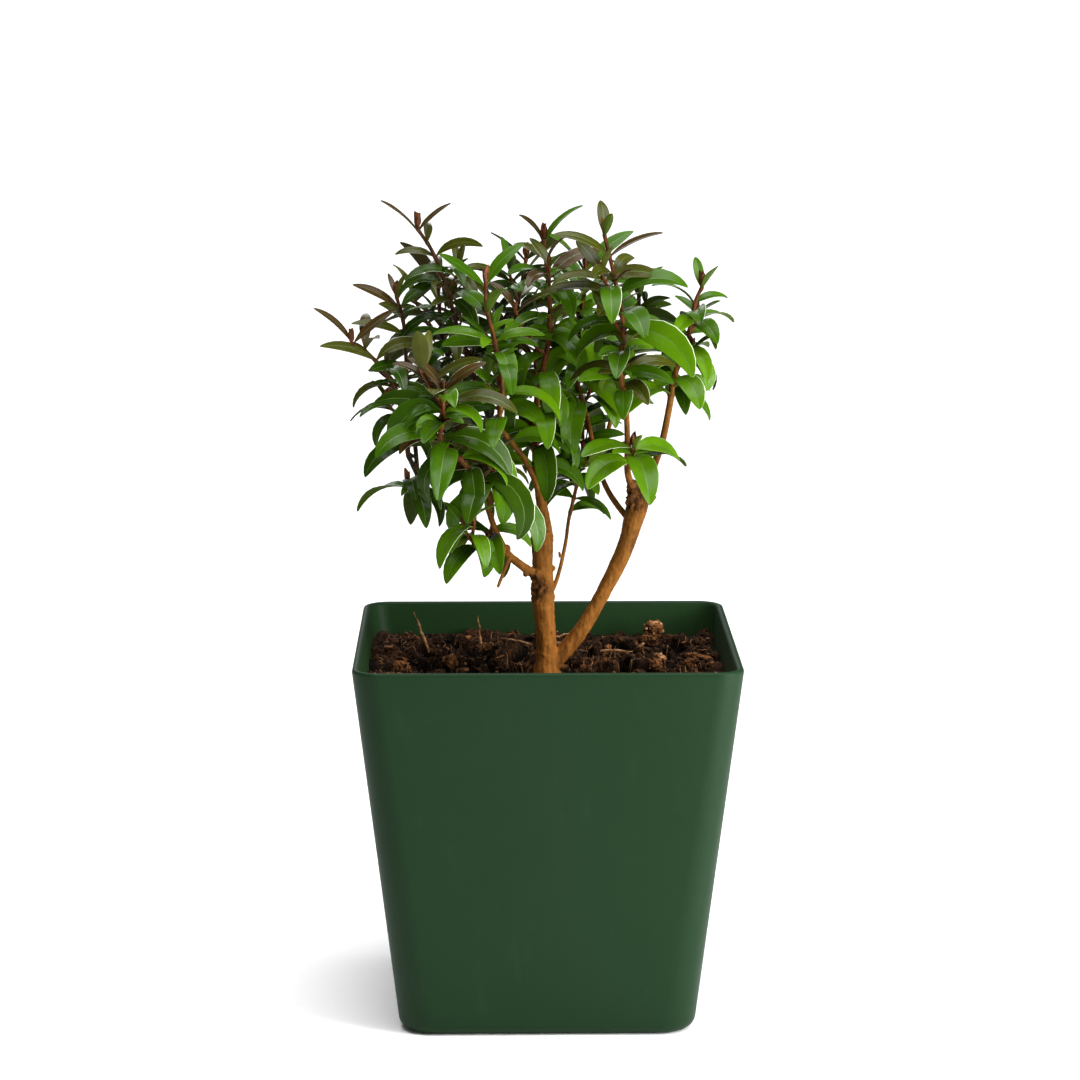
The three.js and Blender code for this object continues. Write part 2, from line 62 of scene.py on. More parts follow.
MM = 0.001
POT_HEIGHT = 128.5
RIM_WIDTH = 130.4
FOOT_WIDTH = 100.4
RIM_CORNER = 9.5
FOOT_CORNER = 12
FOOT_ROUND = 4
WALL = 2.6
FLOOR = 3.4
LIP = WALL / 2
CORNER_STEPS = 10
SIDE_STEPS = 10
OUTER_ROWS = 26
INNER_ROWS = 12
BEND_ANGLES = np.radians(np.arange(0, 91, 15))
LIP_ANGLES = np.radians(np.arange(0, 181, 15))


class Shade:
    """A value, colour or vector in a material's node tree, written in plain sums."""

    def __init__(self, tree, socket):
        self.tree = tree
        self.socket = socket

    def node(self, kind, settings, inputs, output=0):
        """Adds a node: its settings are set first, then the values or links of its sockets."""
        made = self.tree.nodes.new(kind)
        for name, value in settings.items():
            setattr(made, name, value)
        for name, value in inputs.items():
            if isinstance(value, Shade):
                self.tree.links.new(value.socket, made.inputs[name])
            else:
                made.inputs[name].default_value = value
        return Shade(self.tree, made.outputs[output])

    def maths(self, operation, first, second):
        return self.node("ShaderNodeMath", {"operation": operation}, {0: first, 1: second})

    def __add__(self, other):
        return self.maths("ADD", self, other)

    def __radd__(self, other):
        return self.maths("ADD", other, self)

    def __sub__(self, other):
        return self.maths("SUBTRACT", self, other)

    def __rsub__(self, other):
        return self.maths("SUBTRACT", other, self)

    def __mul__(self, other):
        return self.maths("MULTIPLY", self, other)

    def __rmul__(self, other):
        return self.maths("MULTIPLY", other, self)

    def clouds(self, scale, detail):
        """Soft random value around 0.5, self being the place it is read at."""
        return self.node("ShaderNodeTexNoise", {}, {
            "Vector": self, "Scale": scale, "Detail": detail, "Roughness": 0.55})

    def stretched(self, x, y, z):
        return self.node("ShaderNodeVectorMath", {"operation": "MULTIPLY"}, {0: self, 1: (x, y, z)})

    def between(self, low, high):
        """Runs from 0 at low to 1 at high."""
        return self.node("ShaderNodeMapRange", {}, {0: self, 1: low, 2: high, 3: 0.0, 4: 1.0})

    def blend(self, first, second):
        """Mixes two colours, self being the share of the second."""
        colours = {}
        for socket, colour in ((6, first), (7, second)):
            colours[socket] = colour if isinstance(colour, Shade) else (*colour, 1)
        return self.node("ShaderNodeMix", {"data_type": "RGBA"}, {0: self, **colours}, output=2)

    def relief(self, depth, over=None):
        """Bump of this depth in metres, laid over an earlier one if there is one."""
        inputs = {"Height": self, "Distance": depth, "Strength": 1.0}
        if over is not None:
            inputs["Normal"] = over
        return self.node("ShaderNodeBump", {}, inputs)


def new_material(name):
    """A material with its shader, and the place on the object where its patterns are read."""
    made = bpy.data.materials.new(name)
    made.use_nodes = True
    shader = made.node_tree.nodes["Principled BSDF"]
    place = made.node_tree.nodes.new("ShaderNodeTexCoord")
    return made, shader, Shade(made.node_tree, place.outputs["Object"])


def set_finish(shader, **finish):
    """Sets the shader's sockets by name, with spaces written as underscores."""
    for name, value in finish.items():
        socket = shader.inputs[name.replace("_", " ")]
        if isinstance(value, Shade):
            value.tree.links.new(value.socket, socket)
        elif isinstance(value, tuple):
            socket.default_value = (*value, 1)
        else:
            socket.default_value = value


def make_piece(name, points, faces, materials, kinds=None, smooth=True, outward=True):
    """A mesh object from points in millimetres; kinds gives each face its material."""
    mesh = bpy.data.meshes.new(name)
    mesh.from_pydata((np.asarray(points, float) * MM).tolist(), [], faces)
    for material in materials:
        mesh.materials.append(material)
    if kinds is not None:
        mesh.polygons.foreach_set("material_index", np.asarray(kinds, dtype=np.int32))
    if outward:
        shell = bmesh.new()
        shell.from_mesh(mesh)
        bmesh.ops.recalc_face_normals(shell, faces=shell.faces)
        shell.to_mesh(mesh)
        shell.free()
    mesh.polygons.foreach_set("use_smooth", [smooth] * len(mesh.polygons))
    mesh.update()
    piece = bpy.data.objects.new(name, mesh)
    bpy.context.scene.collection.objects.link(piece)
    return piece


def rounded_square(half, corner, z):
    """One ring of points round a square with rounded corners, spaced alike on every ring."""
    ring = []
    for quarter in range(4):
        middle = (quarter + 0.5) * math.pi / 2
        reach = (half - corner) * math.sqrt(2)
        centre = np.array([math.cos(middle), math.sin(middle)]) * reach
        for step in range(CORNER_STEPS + 1):
            angle = (quarter + step / CORNER_STEPS) * math.pi / 2
            ring.append(centre + corner * np.array([math.cos(angle), math.sin(angle)]))
        near = ring[-1]
        after = middle + math.pi / 2
        end = (quarter + 1) * math.pi / 2
        far = np.array([math.cos(after), math.sin(after)]) * reach
        far = far + corner * np.array([math.cos(end), math.sin(end)])
        for step in range(1, SIDE_STEPS):
            ring.append(near + (far - near) * step / SIDE_STEPS)
    return [(x, y, z) for x, y in ring]


def pot_ring(z, inset):
    """The pot's outline at this height, drawn in by the inset."""
    share = z / POT_HEIGHT
    half = (FOOT_WIDTH + (RIM_WIDTH - FOOT_WIDTH) * share) / 2
    corner = FOOT_CORNER + (RIM_CORNER - FOOT_CORNER) * share
    return rounded_square(half - inset, max(corner - inset, 1), z)


def skin(rings):
    """Quads over a stack of rings with the same number of points, and a cap at each end."""
    count = len(rings[0])
    faces = []
    for ring in range(len(rings) - 1):
        for i in range(count):
            a = ring * count + i
            b = ring * count + (i + 1) % count
            faces.append((a, b, b + count, a + count))
    last = (len(rings) - 1) * count
    faces.append(tuple(range(count)))
    faces.append(tuple(range(last, last + count)))
    return faces


pot_rings = []
for angle in BEND_ANGLES:
    pot_rings.append(pot_ring(FOOT_ROUND * (1 - math.cos(angle)), FOOT_ROUND * (1 - math.sin(angle))))
for z in np.linspace(FOOT_ROUND, POT_HEIGHT - LIP, OUTER_ROWS)[1:-1]:
    pot_rings.append(pot_ring(z, 0))
for angle in LIP_ANGLES:
    pot_rings.append(pot_ring(POT_HEIGHT - LIP + LIP * math.sin(angle), LIP * (1 - math.cos(angle))))
for z in np.linspace(POT_HEIGHT - LIP, FLOOR + FOOT_ROUND, INNER_ROWS)[1:]:
    pot_rings.append(pot_ring(z, WALL))
pot_rings.append(pot_ring(FLOOR, WALL + FOOT_ROUND))

green_plastic, shader, place = new_material("green_plastic")
cast = place.clouds(9.0, 2)
grain = place.clouds(900.0, 2)
scuffs = place.stretched(1, 1, 0.25).clouds(160.0, 4).between(0.6, 0.75)
normal = place.node("ShaderNodeNewGeometry", {}, {}, "Normal")
outward = place.node("ShaderNodeVectorMath", {"operation": "DOT_PRODUCT"}, {0: normal, 1: place}, "Value")
# The inward-facing surfaces, the inside of the wall and the inner floor, are painted a lighter green: painted
# light inside the pot.
green = outward.between(0.0, -0.03).blend(
    cast.blend((0.0052, 0.0212, 0.0062), (0.0068, 0.0258, 0.0080)),
    grain.blend((0.0120, 0.0350, 0.0100), (0.0160, 0.0440, 0.0130)))
set_finish(
    shader,
    Base_Color=(0.10 * scuffs).blend(green, (0.023, 0.048, 0.025)),
    Roughness=0.42 + 0.14 * place.clouds(60.0, 3),
    Specular_IOR_Level=0.10,
    Normal=grain.relief(0.00003),
)
pot = make_piece("pot_shell", np.concatenate(pot_rings), skin(pot_rings), [green_plastic])
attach(pot, "root")
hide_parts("pot")

# Potting mix
# Moist bark chips, peat and fibre fill the pot to a finger's width under the lip, in dark open clumps.
# A closed plug carries a lumpy top; chips, crumbs and frayed fibres are strewn on it and half sunk.

MIX_LEVEL = 116.5
MIX_GAP = 0.3
MIX_HALF = 61.4
MIX_TOP = 121.0
CLEFT_HEIGHT = 108.0
CLOD_RISE = 11.0
CALM_WITHIN = 5.0
CALM_BEYOND = 13.0
BED_STEPS = 230
# Between these heights the mix and its chips fade from their painted shade colour, held in the clefts below,
# to their own colour on the tops.
CLEFT_SHADE_FROM = 0.1145
CLEFT_SHADE_TO = 0.1215
FOOT = np.array([0.0, -12.0, 116.8])
draws = np.random.default_rng(41)
# Unseeded, the vector noise that bends the clods would take its offsets from the clock.
noise.seed_set(7)


def ease(value, low, high):
    share = min(max((value - low) / (high - low), 0.0), 1.0)
    return share * share * (3 - 2 * share)


def from_trunk(x, y):
    return math.hypot(x - FOOT[0], y - FOOT[1])


def mix_height(x, y):
    """Height of the mix's top: clods with steep sides and dark clefts, level round the trunk."""
    spot = Vector((x, y, 0.0))
    bent = spot + 3.5 * noise.noise_vector(spot / 8.0)
    near, far = noise.voronoi(bent / 12.0)[0][:2]
    clod = ease(far - near, 0.07, 0.32)
    packed = 0.8 * ease(max(abs(x), abs(y)), 40.0, 57.0)
    clod = clod + (1 - clod) * packed
    lift = 0.5 + 0.5 * noise.noise(spot / 17.0 + Vector((7.0, 3.0, 1.0)))
    lift = lift + (0.72 - lift) * packed
    rough = 1.7 * noise.fractal(spot / 4.0, 0.7, 2.2, 4) * (0.3 + 0.7 * clod)
    open_height = CLEFT_HEIGHT + CLOD_RISE * clod * (0.5 + 0.62 * lift) + rough
    calm = ease(from_trunk(x, y), CALM_WITHIN, CALM_BEYOND)
    return min(MIX_LEVEL + (open_height - MIX_LEVEL) * calm, MIX_TOP)


class Gathered:
    """Points, faces and face kinds of many small forms, joined into one piece."""

    def __init__(self):
        self.points = []
        self.faces = []
        self.kinds = []
        self.count = 0

    def add(self, points, faces, kinds=0):
        shift = self.count
        self.points.append(np.asarray(points, float))
        self.faces.extend([tuple(corner + shift for corner in face) for face in faces])
        self.kinds.extend([kinds] * len(faces) if isinstance(kinds, int) else kinds)
        self.count += len(points)

    def piece(self, name, materials, smooth=True, outward=True):
        points = np.concatenate(self.points)
        return make_piece(name, points, self.faces, materials, self.kinds, smooth, outward)


bed_corner = RIM_CORNER - WALL
grid = np.linspace(-MIX_HALF, MIX_HALF, BED_STEPS + 1)
bed_points = []
for x in grid:
    for y in grid:
        over = np.array([abs(x), abs(y)]) - (MIX_HALF - bed_corner)
        px, py = x, y
        if over.min() > 0:
            pulled = over * over.max() / np.hypot(*over) + (MIX_HALF - bed_corner)
            px, py = math.copysign(pulled[0], x), math.copysign(pulled[1], y)
        bed_points.append((px, py, mix_height(px, py)))
bed_faces = []
per_row = BED_STEPS + 1
for i in range(BED_STEPS):
    for j in range(BED_STEPS):
        a = i * per_row + j
        bed_faces.append((a, a + per_row, a + per_row + 1, a + 1))
edge = [i * per_row for i in range(BED_STEPS)]
edge += [BED_STEPS * per_row + j for j in range(BED_STEPS)]
edge += [i * per_row + BED_STEPS for i in range(BED_STEPS, 0, -1)]
edge += list(range(BED_STEPS, 0, -1))
low_share = (FOOT_WIDTH / 2 - WALL - FOOT_ROUND) / MIX_HALF
low_start = len(bed_points)
for index in edge:
    x, y, z = bed_points[index]
    bed_points.append((x * low_share, y * low_share, FLOOR + MIX_GAP))
for i in range(len(edge)):
    after = (i + 1) % len(edge)
    bed_faces.append((edge[i], edge[after], low_start + after, low_start + i))
bed_faces.append(tuple(range(low_start, len(bed_points))))


def dry_share(place):
    """From 0 in the clefts, which are painted in shade, to 1 on the tops of the clods."""
    height = place.node("ShaderNodeSeparateXYZ", {}, {0: place}, output=2)
    return (height + 0.003 * place.clouds(250.0, 3)).between(CLEFT_SHADE_FROM, CLEFT_SHADE_TO)


dark_mix, shader, place = new_material("dark_mix")
damp_and_cleft_shade = place.clouds(110.0, 4)
specks = place.clouds(800.0, 4)
# The mix is painted near black in its clefts and low hollows: painted shade.
set_finish(
    shader,
    Base_Color=(dry_share(place) * damp_and_cleft_shade.between(0.35, 0.65)).blend(
        (0.0016, 0.0007, 0.0003),
        specks.between(0.5, 0.72).blend((0.040, 0.0150, 0.0040), (0.125, 0.052, 0.016))),
    Roughness=0.95 - 0.3 * damp_and_cleft_shade,
    Normal=specks.relief(0.0006),
    Specular_IOR_Level=0.10,
)
bed = make_piece("mix_bed", bed_points, bed_faces, [dark_mix])
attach(bed, "root")
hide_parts("potting_mix")

# Bark chips and crumbs on the mix
# Broken bits of pine bark, brown to tan, from 1 to 8 mm, boxy with worn edges and a stringy grain.
# Each is one small ball squared off, flattened and roughened by seeded draws, all joined by size.

FULL_TURN = 6.28
CHIP_FINISHES = [
    # name, scale of the grain and how far it is squeezed upright, its low and high reading,
    # colour in the painted shade of the clefts, dark and light colour on the tops, roughness
    ("chip_brown", 420.0, 1, (0.38, 0.68), (0.0022, 0.0009, 0.0004),
     (0.007, 0.0026, 0.0009), (0.088, 0.034, 0.0095), 0.9),
    ("chip_red", 380.0, 1, (0.38, 0.66), (0.0060, 0.0024, 0.0009),
     (0.020, 0.007, 0.0018), (0.30, 0.118, 0.036), 0.85),
    ("chip_tan", 300.0, 2, (0.36, 0.64), (0.0200, 0.0080, 0.0026),
     (0.12, 0.046, 0.014), (0.56, 0.30, 0.135), 0.85),
]
chip_finishes = []
for name, scale, squeeze, ends, damp_and_cleft_shade, dark, light, roughness in CHIP_FINISHES:
    chip_finish, shader, place = new_material(name)
    grain = place.stretched(1, 1, squeeze).clouds(scale, 4)
    # Down in the clefts each chip takes its painted shade colour.
    set_finish(
        shader,
        Base_Color=dry_share(place).blend(damp_and_cleft_shade, grain.between(*ends).blend(dark, light)),
        Roughness=roughness,
        Normal=grain.relief(0.0003),
        Specular_IOR_Level=0.15,
    )
    chip_finishes.append(chip_finish)


def ball(level):
    """Points and faces of a ball with a radius of 1, finer with each level."""
    shell = bmesh.new()
    bmesh.ops.create_icosphere(shell, subdivisions=level, radius=1.0)
    points = np.array([corner.co[:] for corner in shell.verts])
    faces = [tuple(corner.index for corner in face.verts) for face in shell.faces]
    shell.free()
    return points, faces


def turned(points, tilt, heading):
    """Points tilted about the X axis, then turned about the vertical."""
    c, s = math.cos(tilt), math.sin(tilt)
    points = points @ np.array([[1, 0, 0], [0, c, s], [0, -s, c]])
    c, s = math.cos(heading), math.sin(heading)
    return points @ np.array([[c, s, 0], [-s, c, 0], [0, 0, 1]])


def chip(base, size, centre, tilt, heading):
    """A ball squared off to a chip of this size, roughened and laid at its place."""
    squared = np.sign(base) * np.abs(base) ** 0.5
    squared = squared * (1 + draws.uniform(-0.22, 0.22, (len(base), 1)))
    return turned(squared * np.array(size) / 2, tilt, heading) + centre


def chip_kind(brown, red, tan):
    """Draws the colour of a bit from the shares of the three."""
    return int(draws.choice([0, 1, 2], p=[brown, red, tan]))


def on_mix(margin):
    """A drawn place on the mix, at least this far from the pot's wall."""
    x, y = draws.uniform(-MIX_HALF + margin, MIX_HALF - margin, 2)
    return x, y, mix_height(x, y)


def strewn(name, base, count, margin, lengths, widths, heights, shares, lean, raised, clear, highest):
    """One piece of many bits on the mix: ranges of length, shares of it as width and height, colours."""
    bits = Gathered()
    for _ in range(count):
        x, y, z = on_mix(margin)
        length = draws.uniform(*lengths)
        size = (length, length * draws.uniform(*widths), length * draws.uniform(*heights))
        kind = chip_kind(*shares)
        tilt, heading = draws.uniform(-lean, lean), draws.uniform(0, FULL_TURN)
        centre = np.array([x, y, min(z + size[2] * raised, highest)])
        if from_trunk(x, y) > clear:
            bits.add(chip(base[0], size, centre, tilt, heading), base[1], kind)
    return bits.piece(name, chip_finishes, smooth=False, outward=False)


small_ball = ball(1)
fine_ball = ball(2)
chip_piece = strewn(
    "mix_chips", fine_ball, count=620, margin=5.0, lengths=(1.6, 4.6), widths=(0.3, 0.8),
    heights=(0.12, 0.4), shares=(0.6, 0.33, 0.07), lean=0.9, raised=0.25, clear=7.5, highest=MIX_TOP)
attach(chip_piece, "root")
crumb_piece = strewn(
    "mix_crumbs", small_ball, count=3600, margin=1.5, lengths=(0.5, 1.7), widths=(0.5, 0.9),
    heights=(0.4, 0.8), shares=(0.72, 0.24, 0.04), lean=1.2, raised=0.2, clear=5.6, highest=math.inf)
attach(crumb_piece, "root")

# Larger bits of bark that lie on the mix
# A pale crumbled lump by the back wall, reddish flakes, and pieces of split bark at the right and left.
# Each is a rough core with smaller broken chips pressed into it, so that its edges are ragged.

LARGE_BITS = [
    # centre, length, width, height, tilt, heading, kind
    ((39.5, 47.5, 121.2), 7.5, 6.0, 6.0, 0.3, 0.4, 2),
    ((38.0, 45.0, 117.6), 7.5, 5.5, 4.5, 0.2, 2.0, 1),
    ((38.5, -1.0, 118.4), 7.0, 4.0, 3.0, 0.9, 1.2, 1),
    ((40.2, 5.0, 119.8), 6.8, 2.4, 1.5, 0.5, 1.7, 2),
    ((51.0, 2.0, 118.0), 6.0, 4.0, 2.6, 0.7, 0.6, 1),
    ((53.0, 10.5, 118.6), 15.0, 2.8, 2.0, 0.2, -0.75, 1),
    ((-22.0, 28.0, 118.6), 11.0, 3.0, 2.2, 0.4, 0.9, 0),
    ((-37.0, 21.0, 118.4), 8.0, 5.0, 3.6, 0.3, 0.2, 0),
    ((-50.0, -3.0, 118.0), 5.5, 5.0, 4.6, 0.2, 0.8, 1),
    ((-33.0, 4.0, 118.6), 6.0, 4.0, 5.0, 0.2, 1.8, 1),
    ((14.0, 3.0, 118.0), 8.0, 4.0, 3.2, 0.6, 1.0, 0),
]
BITS_PER_LUMP = 46
worn_ball = ball(4)
lumps = Gathered()
for centre, length, width, height, tilt, heading, kind in LARGE_BITS:
    size = np.array([length, width, height])
    relief_and_rim_highlight = worn_ball[0].copy()
    for i, point in enumerate(relief_and_rim_highlight):
        spot = Vector(point * size) * 0.45 + Vector(centre)
        relief_and_rim_highlight[i] *= 1 + 0.5 * noise.fractal(spot, 0.6, 2.2, 5)
    squared = np.sign(relief_and_rim_highlight) * np.abs(relief_and_rim_highlight) ** 0.7
    core = 1 if kind == 2 else kind
    lumps.add(turned(squared * size * 0.42, tilt, heading) + np.array(centre), worn_ball[1], core)
    for _ in range(BITS_PER_LUMP):
        way = draws.normal(0, 1, 3)
        spot = turned((way / np.linalg.norm(way) * size * 0.43)[None], tilt, heading)[0] + np.array(centre)
        length = draws.uniform(0.8, 2.4)
        bit = (length, length * draws.uniform(0.4, 0.8), length * draws.uniform(0.2, 0.6))
        broken = chip(fine_ball[0], bit, spot, draws.uniform(-1, 1), draws.uniform(0, FULL_TURN))
        lumps.add(broken, fine_ball[1], kind if draws.uniform() < 0.7 else 1)
lump_piece = lumps.piece("bark_lumps", chip_finishes, smooth=False, outward=False)
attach(lump_piece, "root")

# Fibres and splinters in the mix
# Frayed bark threads, a few thin dead roots and two upright splinters, brown to golden.
# Each is a thin tapered tube along a wandering line; most lie on the mix, some stand in tufts.

FIBRE_CLEAR = 9.0
DRAPED_FIBRES = 2600
RAISED_FIBRES = 420
DRAPED_STEPS = 7
WANDER_STEPS = 6
FIBRES_PER_TUFT = 34
TUFTS = [
    # x, y
    (-51.0, -6.0), (-30.5, -8.0), (-27.0, 2.0), (-12.0, 2.0), (-9.0, 12.0), (-7.0, -5.0),
    (-20.0, 22.0), (-36.0, 26.0), (24.0, 12.0), (17.0, -2.0), (40.0, -6.0), (50.0, -6.0),
]
SPLINTERS = [
    # foot, tip, thickness
    ((-40.5, 24.0, 117.6), (-46.4, 30.5, 131.0), 0.6),
    ((-22.5, 34.0, 118.0), (-23.6, 35.0, 128.6), 0.5),
    ((8.0, 44.0, 118.2), (12.5, 46.0, 121.4), 0.4),
    ((3.0, 42.0, 119.0), (9.0, 45.0, 120.4), 0.4),
    ((20.0, 22.0, 118.5), (31.0, 15.0, 119.6), 0.7),
    ((-4.0, 30.0, 119.0), (-14.0, 38.0, 119.8), 0.6),
]
SPLINTER_TAPER = np.array([0.8, 1, 0.95, 0.9, 0.85, 0.75, 0.6, 0.4, 0.15])


def across_pair(along, across):
    """Two directions square to a line and to each other, the first as near across as can be."""
    across = across - along * np.dot(across, along)
    across = across / np.linalg.norm(across)
    return across, np.cross(along, across)


def tube(line, radii, sides):
    """Rings of a tapering tube along a line, turned as little as can be from ring to ring."""
    line = np.asarray(line, float)
    ahead = np.vstack([line[1:], line[-1:]])
    behind = np.vstack([line[:1], line[:-1]])
    alongs = ahead - behind
    alongs = alongs / np.linalg.norm(alongs, axis=1)[:, None]
    angles = np.arange(sides) * 2 * math.pi / sides
    across = np.array([1.0, 0.0, 0.0])
    rings = []
    for point, along, radius in zip(line, alongs, radii):
        if abs(np.dot(across, along)) > 0.95:
            across = np.array([0.0, 1.0, 0.0])
        across, third = across_pair(along, across)
        rings.append(point + radius * (np.outer(np.cos(angles), across) + np.outer(np.sin(angles), third)))
    return rings


def add_tube(gathered, line, radii, sides, kind=0):
    """A closed tapering tube along a line, added to what is gathered."""
    rings = tube(line, radii, sides)
    gathered.add(np.concatenate(rings), skin(rings), kind)


def wander(start, heading, slope, length, bend):
    """A line that sets out at a heading and a slope and turns a little at each step."""
    line = [np.array(start, float)]
    for _ in range(WANDER_STEPS):
        heading += draws.normal(0, bend)
        slope += draws.normal(0, bend * 0.7)
        step = np.array([
            math.cos(heading) * math.cos(slope), math.sin(heading) * math.cos(slope), math.sin(slope)])
        line.append(line[-1] + step * length / WANDER_STEPS)
    return line


def draped(x, y, heading, length, bend):
    """A line that wanders over the mix and hugs its clods and clefts."""
    line = []
    for _ in range(DRAPED_STEPS + 1):
        line.append((x, y, mix_height(x, y) + 0.12))
        heading += draws.normal(0, bend)
        x = min(max(x + math.cos(heading) * length / DRAPED_STEPS, 2 - MIX_HALF), MIX_HALF - 2)
        y = min(max(y + math.sin(heading) * length / DRAPED_STEPS, 2 - MIX_HALF), MIX_HALF - 2)
    return line


def add_fibre(line, radii, shares, end_share):
    """A fibre of drawn thickness and colour along a line, thinning to a share of it at the end."""
    radius = draws.uniform(*radii)
    kind = chip_kind(*shares)
    add_tube(fibres, line, np.linspace(radius, radius * end_share, len(line)), 4, kind)


fibres = Gathered()
for _ in range(DRAPED_FIBRES):
    x, y, z = on_mix(4.0)
    if from_trunk(x, y) > FIBRE_CLEAR:
        line = draped(x, y, draws.uniform(0, FULL_TURN), draws.uniform(2.5, 9.0), 0.3)
        add_fibre(line, (0.09, 0.32), (0.5, 0.36, 0.14), 0.4)
for _ in range(RAISED_FIBRES):
    x, y, z = on_mix(7.0)
    if from_trunk(x, y) > FIBRE_CLEAR:
        length = draws.uniform(2.5, 7.0)
        heading, slope = draws.uniform(0, FULL_TURN), draws.uniform(-0.2, 0.6)
        add_fibre(wander((x, y, z + 0.1), heading, slope, length, 0.35), (0.06, 0.16), (0.3, 0.4, 0.3), 0.4)
for x, y in TUFTS:
    for _ in range(FIBRES_PER_TUFT):
        sx, sy = x + draws.normal(0, 2.2), y + draws.normal(0, 2.2)
        start = (sx, sy, mix_height(sx, sy) - 0.4)
        length = draws.uniform(2.0, 6.0)
        heading, slope = draws.uniform(0, FULL_TURN), draws.uniform(0.2, 1.5)
        add_fibre(wander(start, heading, slope, length, 0.4), (0.09, 0.3), (0.25, 0.45, 0.3), 0.35)
for foot, tip, thickness in SPLINTERS:
    line = [np.array(foot) + (np.array(tip) - np.array(foot)) * t for t in np.linspace(0, 1, 9)]
    line = [point + draws.normal(0, 0.12, 3) for point in line]
    add_tube(fibres, line, thickness * SPLINTER_TAPER, 6, 2)
fibre_piece = fibres.piece("mix_fibres", chip_finishes, outward=False)
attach(fibre_piece, "root")

# Trunk, right stem and boughs
# Two stems from one root, tan and rough, with old cut heads; thinner boughs leave them, dark at the far left.
# Tubes along the limbs' centre lines are melted into one skin, and furrows and scars are worked into it.

LIMBS = {
    # bark, radii spread evenly along the limb, and its centre line from foot to tip
    "trunk": {
        "bark": "tan", "radii": [4.9, 3.75, 3.6, 3.5, 3.6, 3.8, 3.9, 3.5, 3.4, 3.8, 3.6],
        "path": [(0, -12, 116.8), (0, -12, 129), (-1, -11, 143), (-1, -10, 153), (-1.5, -9.5, 166)]},
    "right_stem": {
        "bark": "tan", "radii": [3, 2.9, 2.7, 2.5, 2.55, 2.9, 3, 3.8, 3.7],
        "path": [(-1, -12, 118.5), (7, -11, 126), (15, -10, 137), (25.7, -7, 157), (30, -6, 170),
                 (33.2, -5, 182)]},
    "central_leader": {
        "bark": "tan", "radii": [2.7, 2.1, 1.8, 1.4],
        "path": [(0, -9, 163), (-0.5, -9, 170), (-1.7, -8, 177), (-3, -6.5, 184)]},
    "left_bough": {
        "bark": "tan", "radii": [1.9, 1.5, 1.3, 1.1, 1],
        "path": [(-1, -10.5, 150), (-9, -14, 156), (-14, -18, 161.5), (-18, -22, 171),
                 (-19.5, -23.7, 176)]},
    "far_left_bough": {
        "bark": "dark", "radii": [1.1, 1, 0.95, 0.95, 0.9],
        "path": [(-15, -19, 164), (-26, -15, 172), (-35, -9, 175.5), (-42, -3.5, 182), (-47, 0, 191)]},
    "left_low_bough": {
        "bark": "tan", "radii": [0.9, 0.8, 0.75],
        "path": [(-13.5, -17.6, 161), (-16, -20, 161.5), (-19, -22.5, 163)]},
    "left_side_bough": {
        "bark": "dark", "radii": [0.85, 0.8, 0.75],
        "path": [(-39.5, -5.5, 179), (-41.5, -8.5, 179), (-44, -11, 180)]},
    "left_upper_bough": {
        "bark": "dark", "radii": [0.85, 0.8, 0.75],
        "path": [(-44, -2, 185.5), (-45, 4, 195), (-47.5, 7.5, 208)]},
    "left_top_bough": {
        "bark": "dark", "radii": [1.4, 1.2, 1.1, 1, 0.9],
        "path": [(-0.7, -8.8, 171), (-9, 2, 178), (-14, 7, 186), (-19, 11, 201), (-23, 13, 213)]},
    "centre_left_bough": {
        "bark": "tan", "radii": [1, 0.95, 0.9],
        "path": [(-2.2, -7.4, 180), (-4.6, -10.5, 186), (-8, -12.8, 193)]},
    "right_leader": {
        "bark": "tan", "radii": [1.6, 1.35, 1.2, 1.15],
        "path": [(33, -5, 179), (36.5, -4, 187), (40, -2.5, 197), (42.5, -1, 209)]},
    "right_centre_bough": {
        "bark": "tan", "radii": [1.5, 1.15, 1.05, 0.95],
        "path": [(32, -6, 178.5), (28, -12, 186), (27.5, -16, 197), (27, -19, 211)]},
    "right_low_bough": {
        "bark": "tan", "radii": [0.85, 0.8, 0.75],
        "path": [(27.8, -13, 188), (28, -16.5, 189), (28, -19.5, 190.5)]},
    "inner_right_bough": {
        "bark": "tan", "radii": [1.15, 1, 0.9, 0.85],
        "path": [(30, -6, 168), (22, 2, 178), (18, 8, 188), (14.5, 13, 203)]},
    "thin_back_stem": {
        "bark": "tan", "radii": [0.95, 0.75, 0.7, 0.65],
        "path": [(-0.5, -10.5, 142), (3.5, -6, 148.5), (6.5, 0, 159), (8, 5, 168)]},
    "back_bough": {
        "bark": "tan", "radii": [1.3, 1.1, 1, 0.85],
        "path": [(-1.5, -8.3, 174), (-1, 3, 183), (-5, 15, 195), (-8, 24, 210)]},
    "back_low_bough": {
        "bark": "tan", "radii": [0.9, 0.85, 0.75],
        "path": [(-1.6, 6, 186), (-7, 15, 187), (-14, 22, 190)]},
    "back_left_bough": {
        "bark": "dark", "radii": [1, 0.9, 0.85, 0.8],
        "path": [(-12, 5, 183), (-18, 15, 191), (-25, 24, 200), (-30, 29, 210)]},
    "back_right_bough": {
        "bark": "tan", "radii": [0.9, 0.85, 0.8, 0.75],
        "path": [(18.3, 7.6, 187), (21, 16, 195), (25, 25, 206), (28, 30, 216)]},
}
TAN_LIMBS = [name for name in LIMBS if LIMBS[name]["bark"] == "tan"]
DARK_LIMBS = [name for name in LIMBS if LIMBS[name]["bark"] == "dark"]
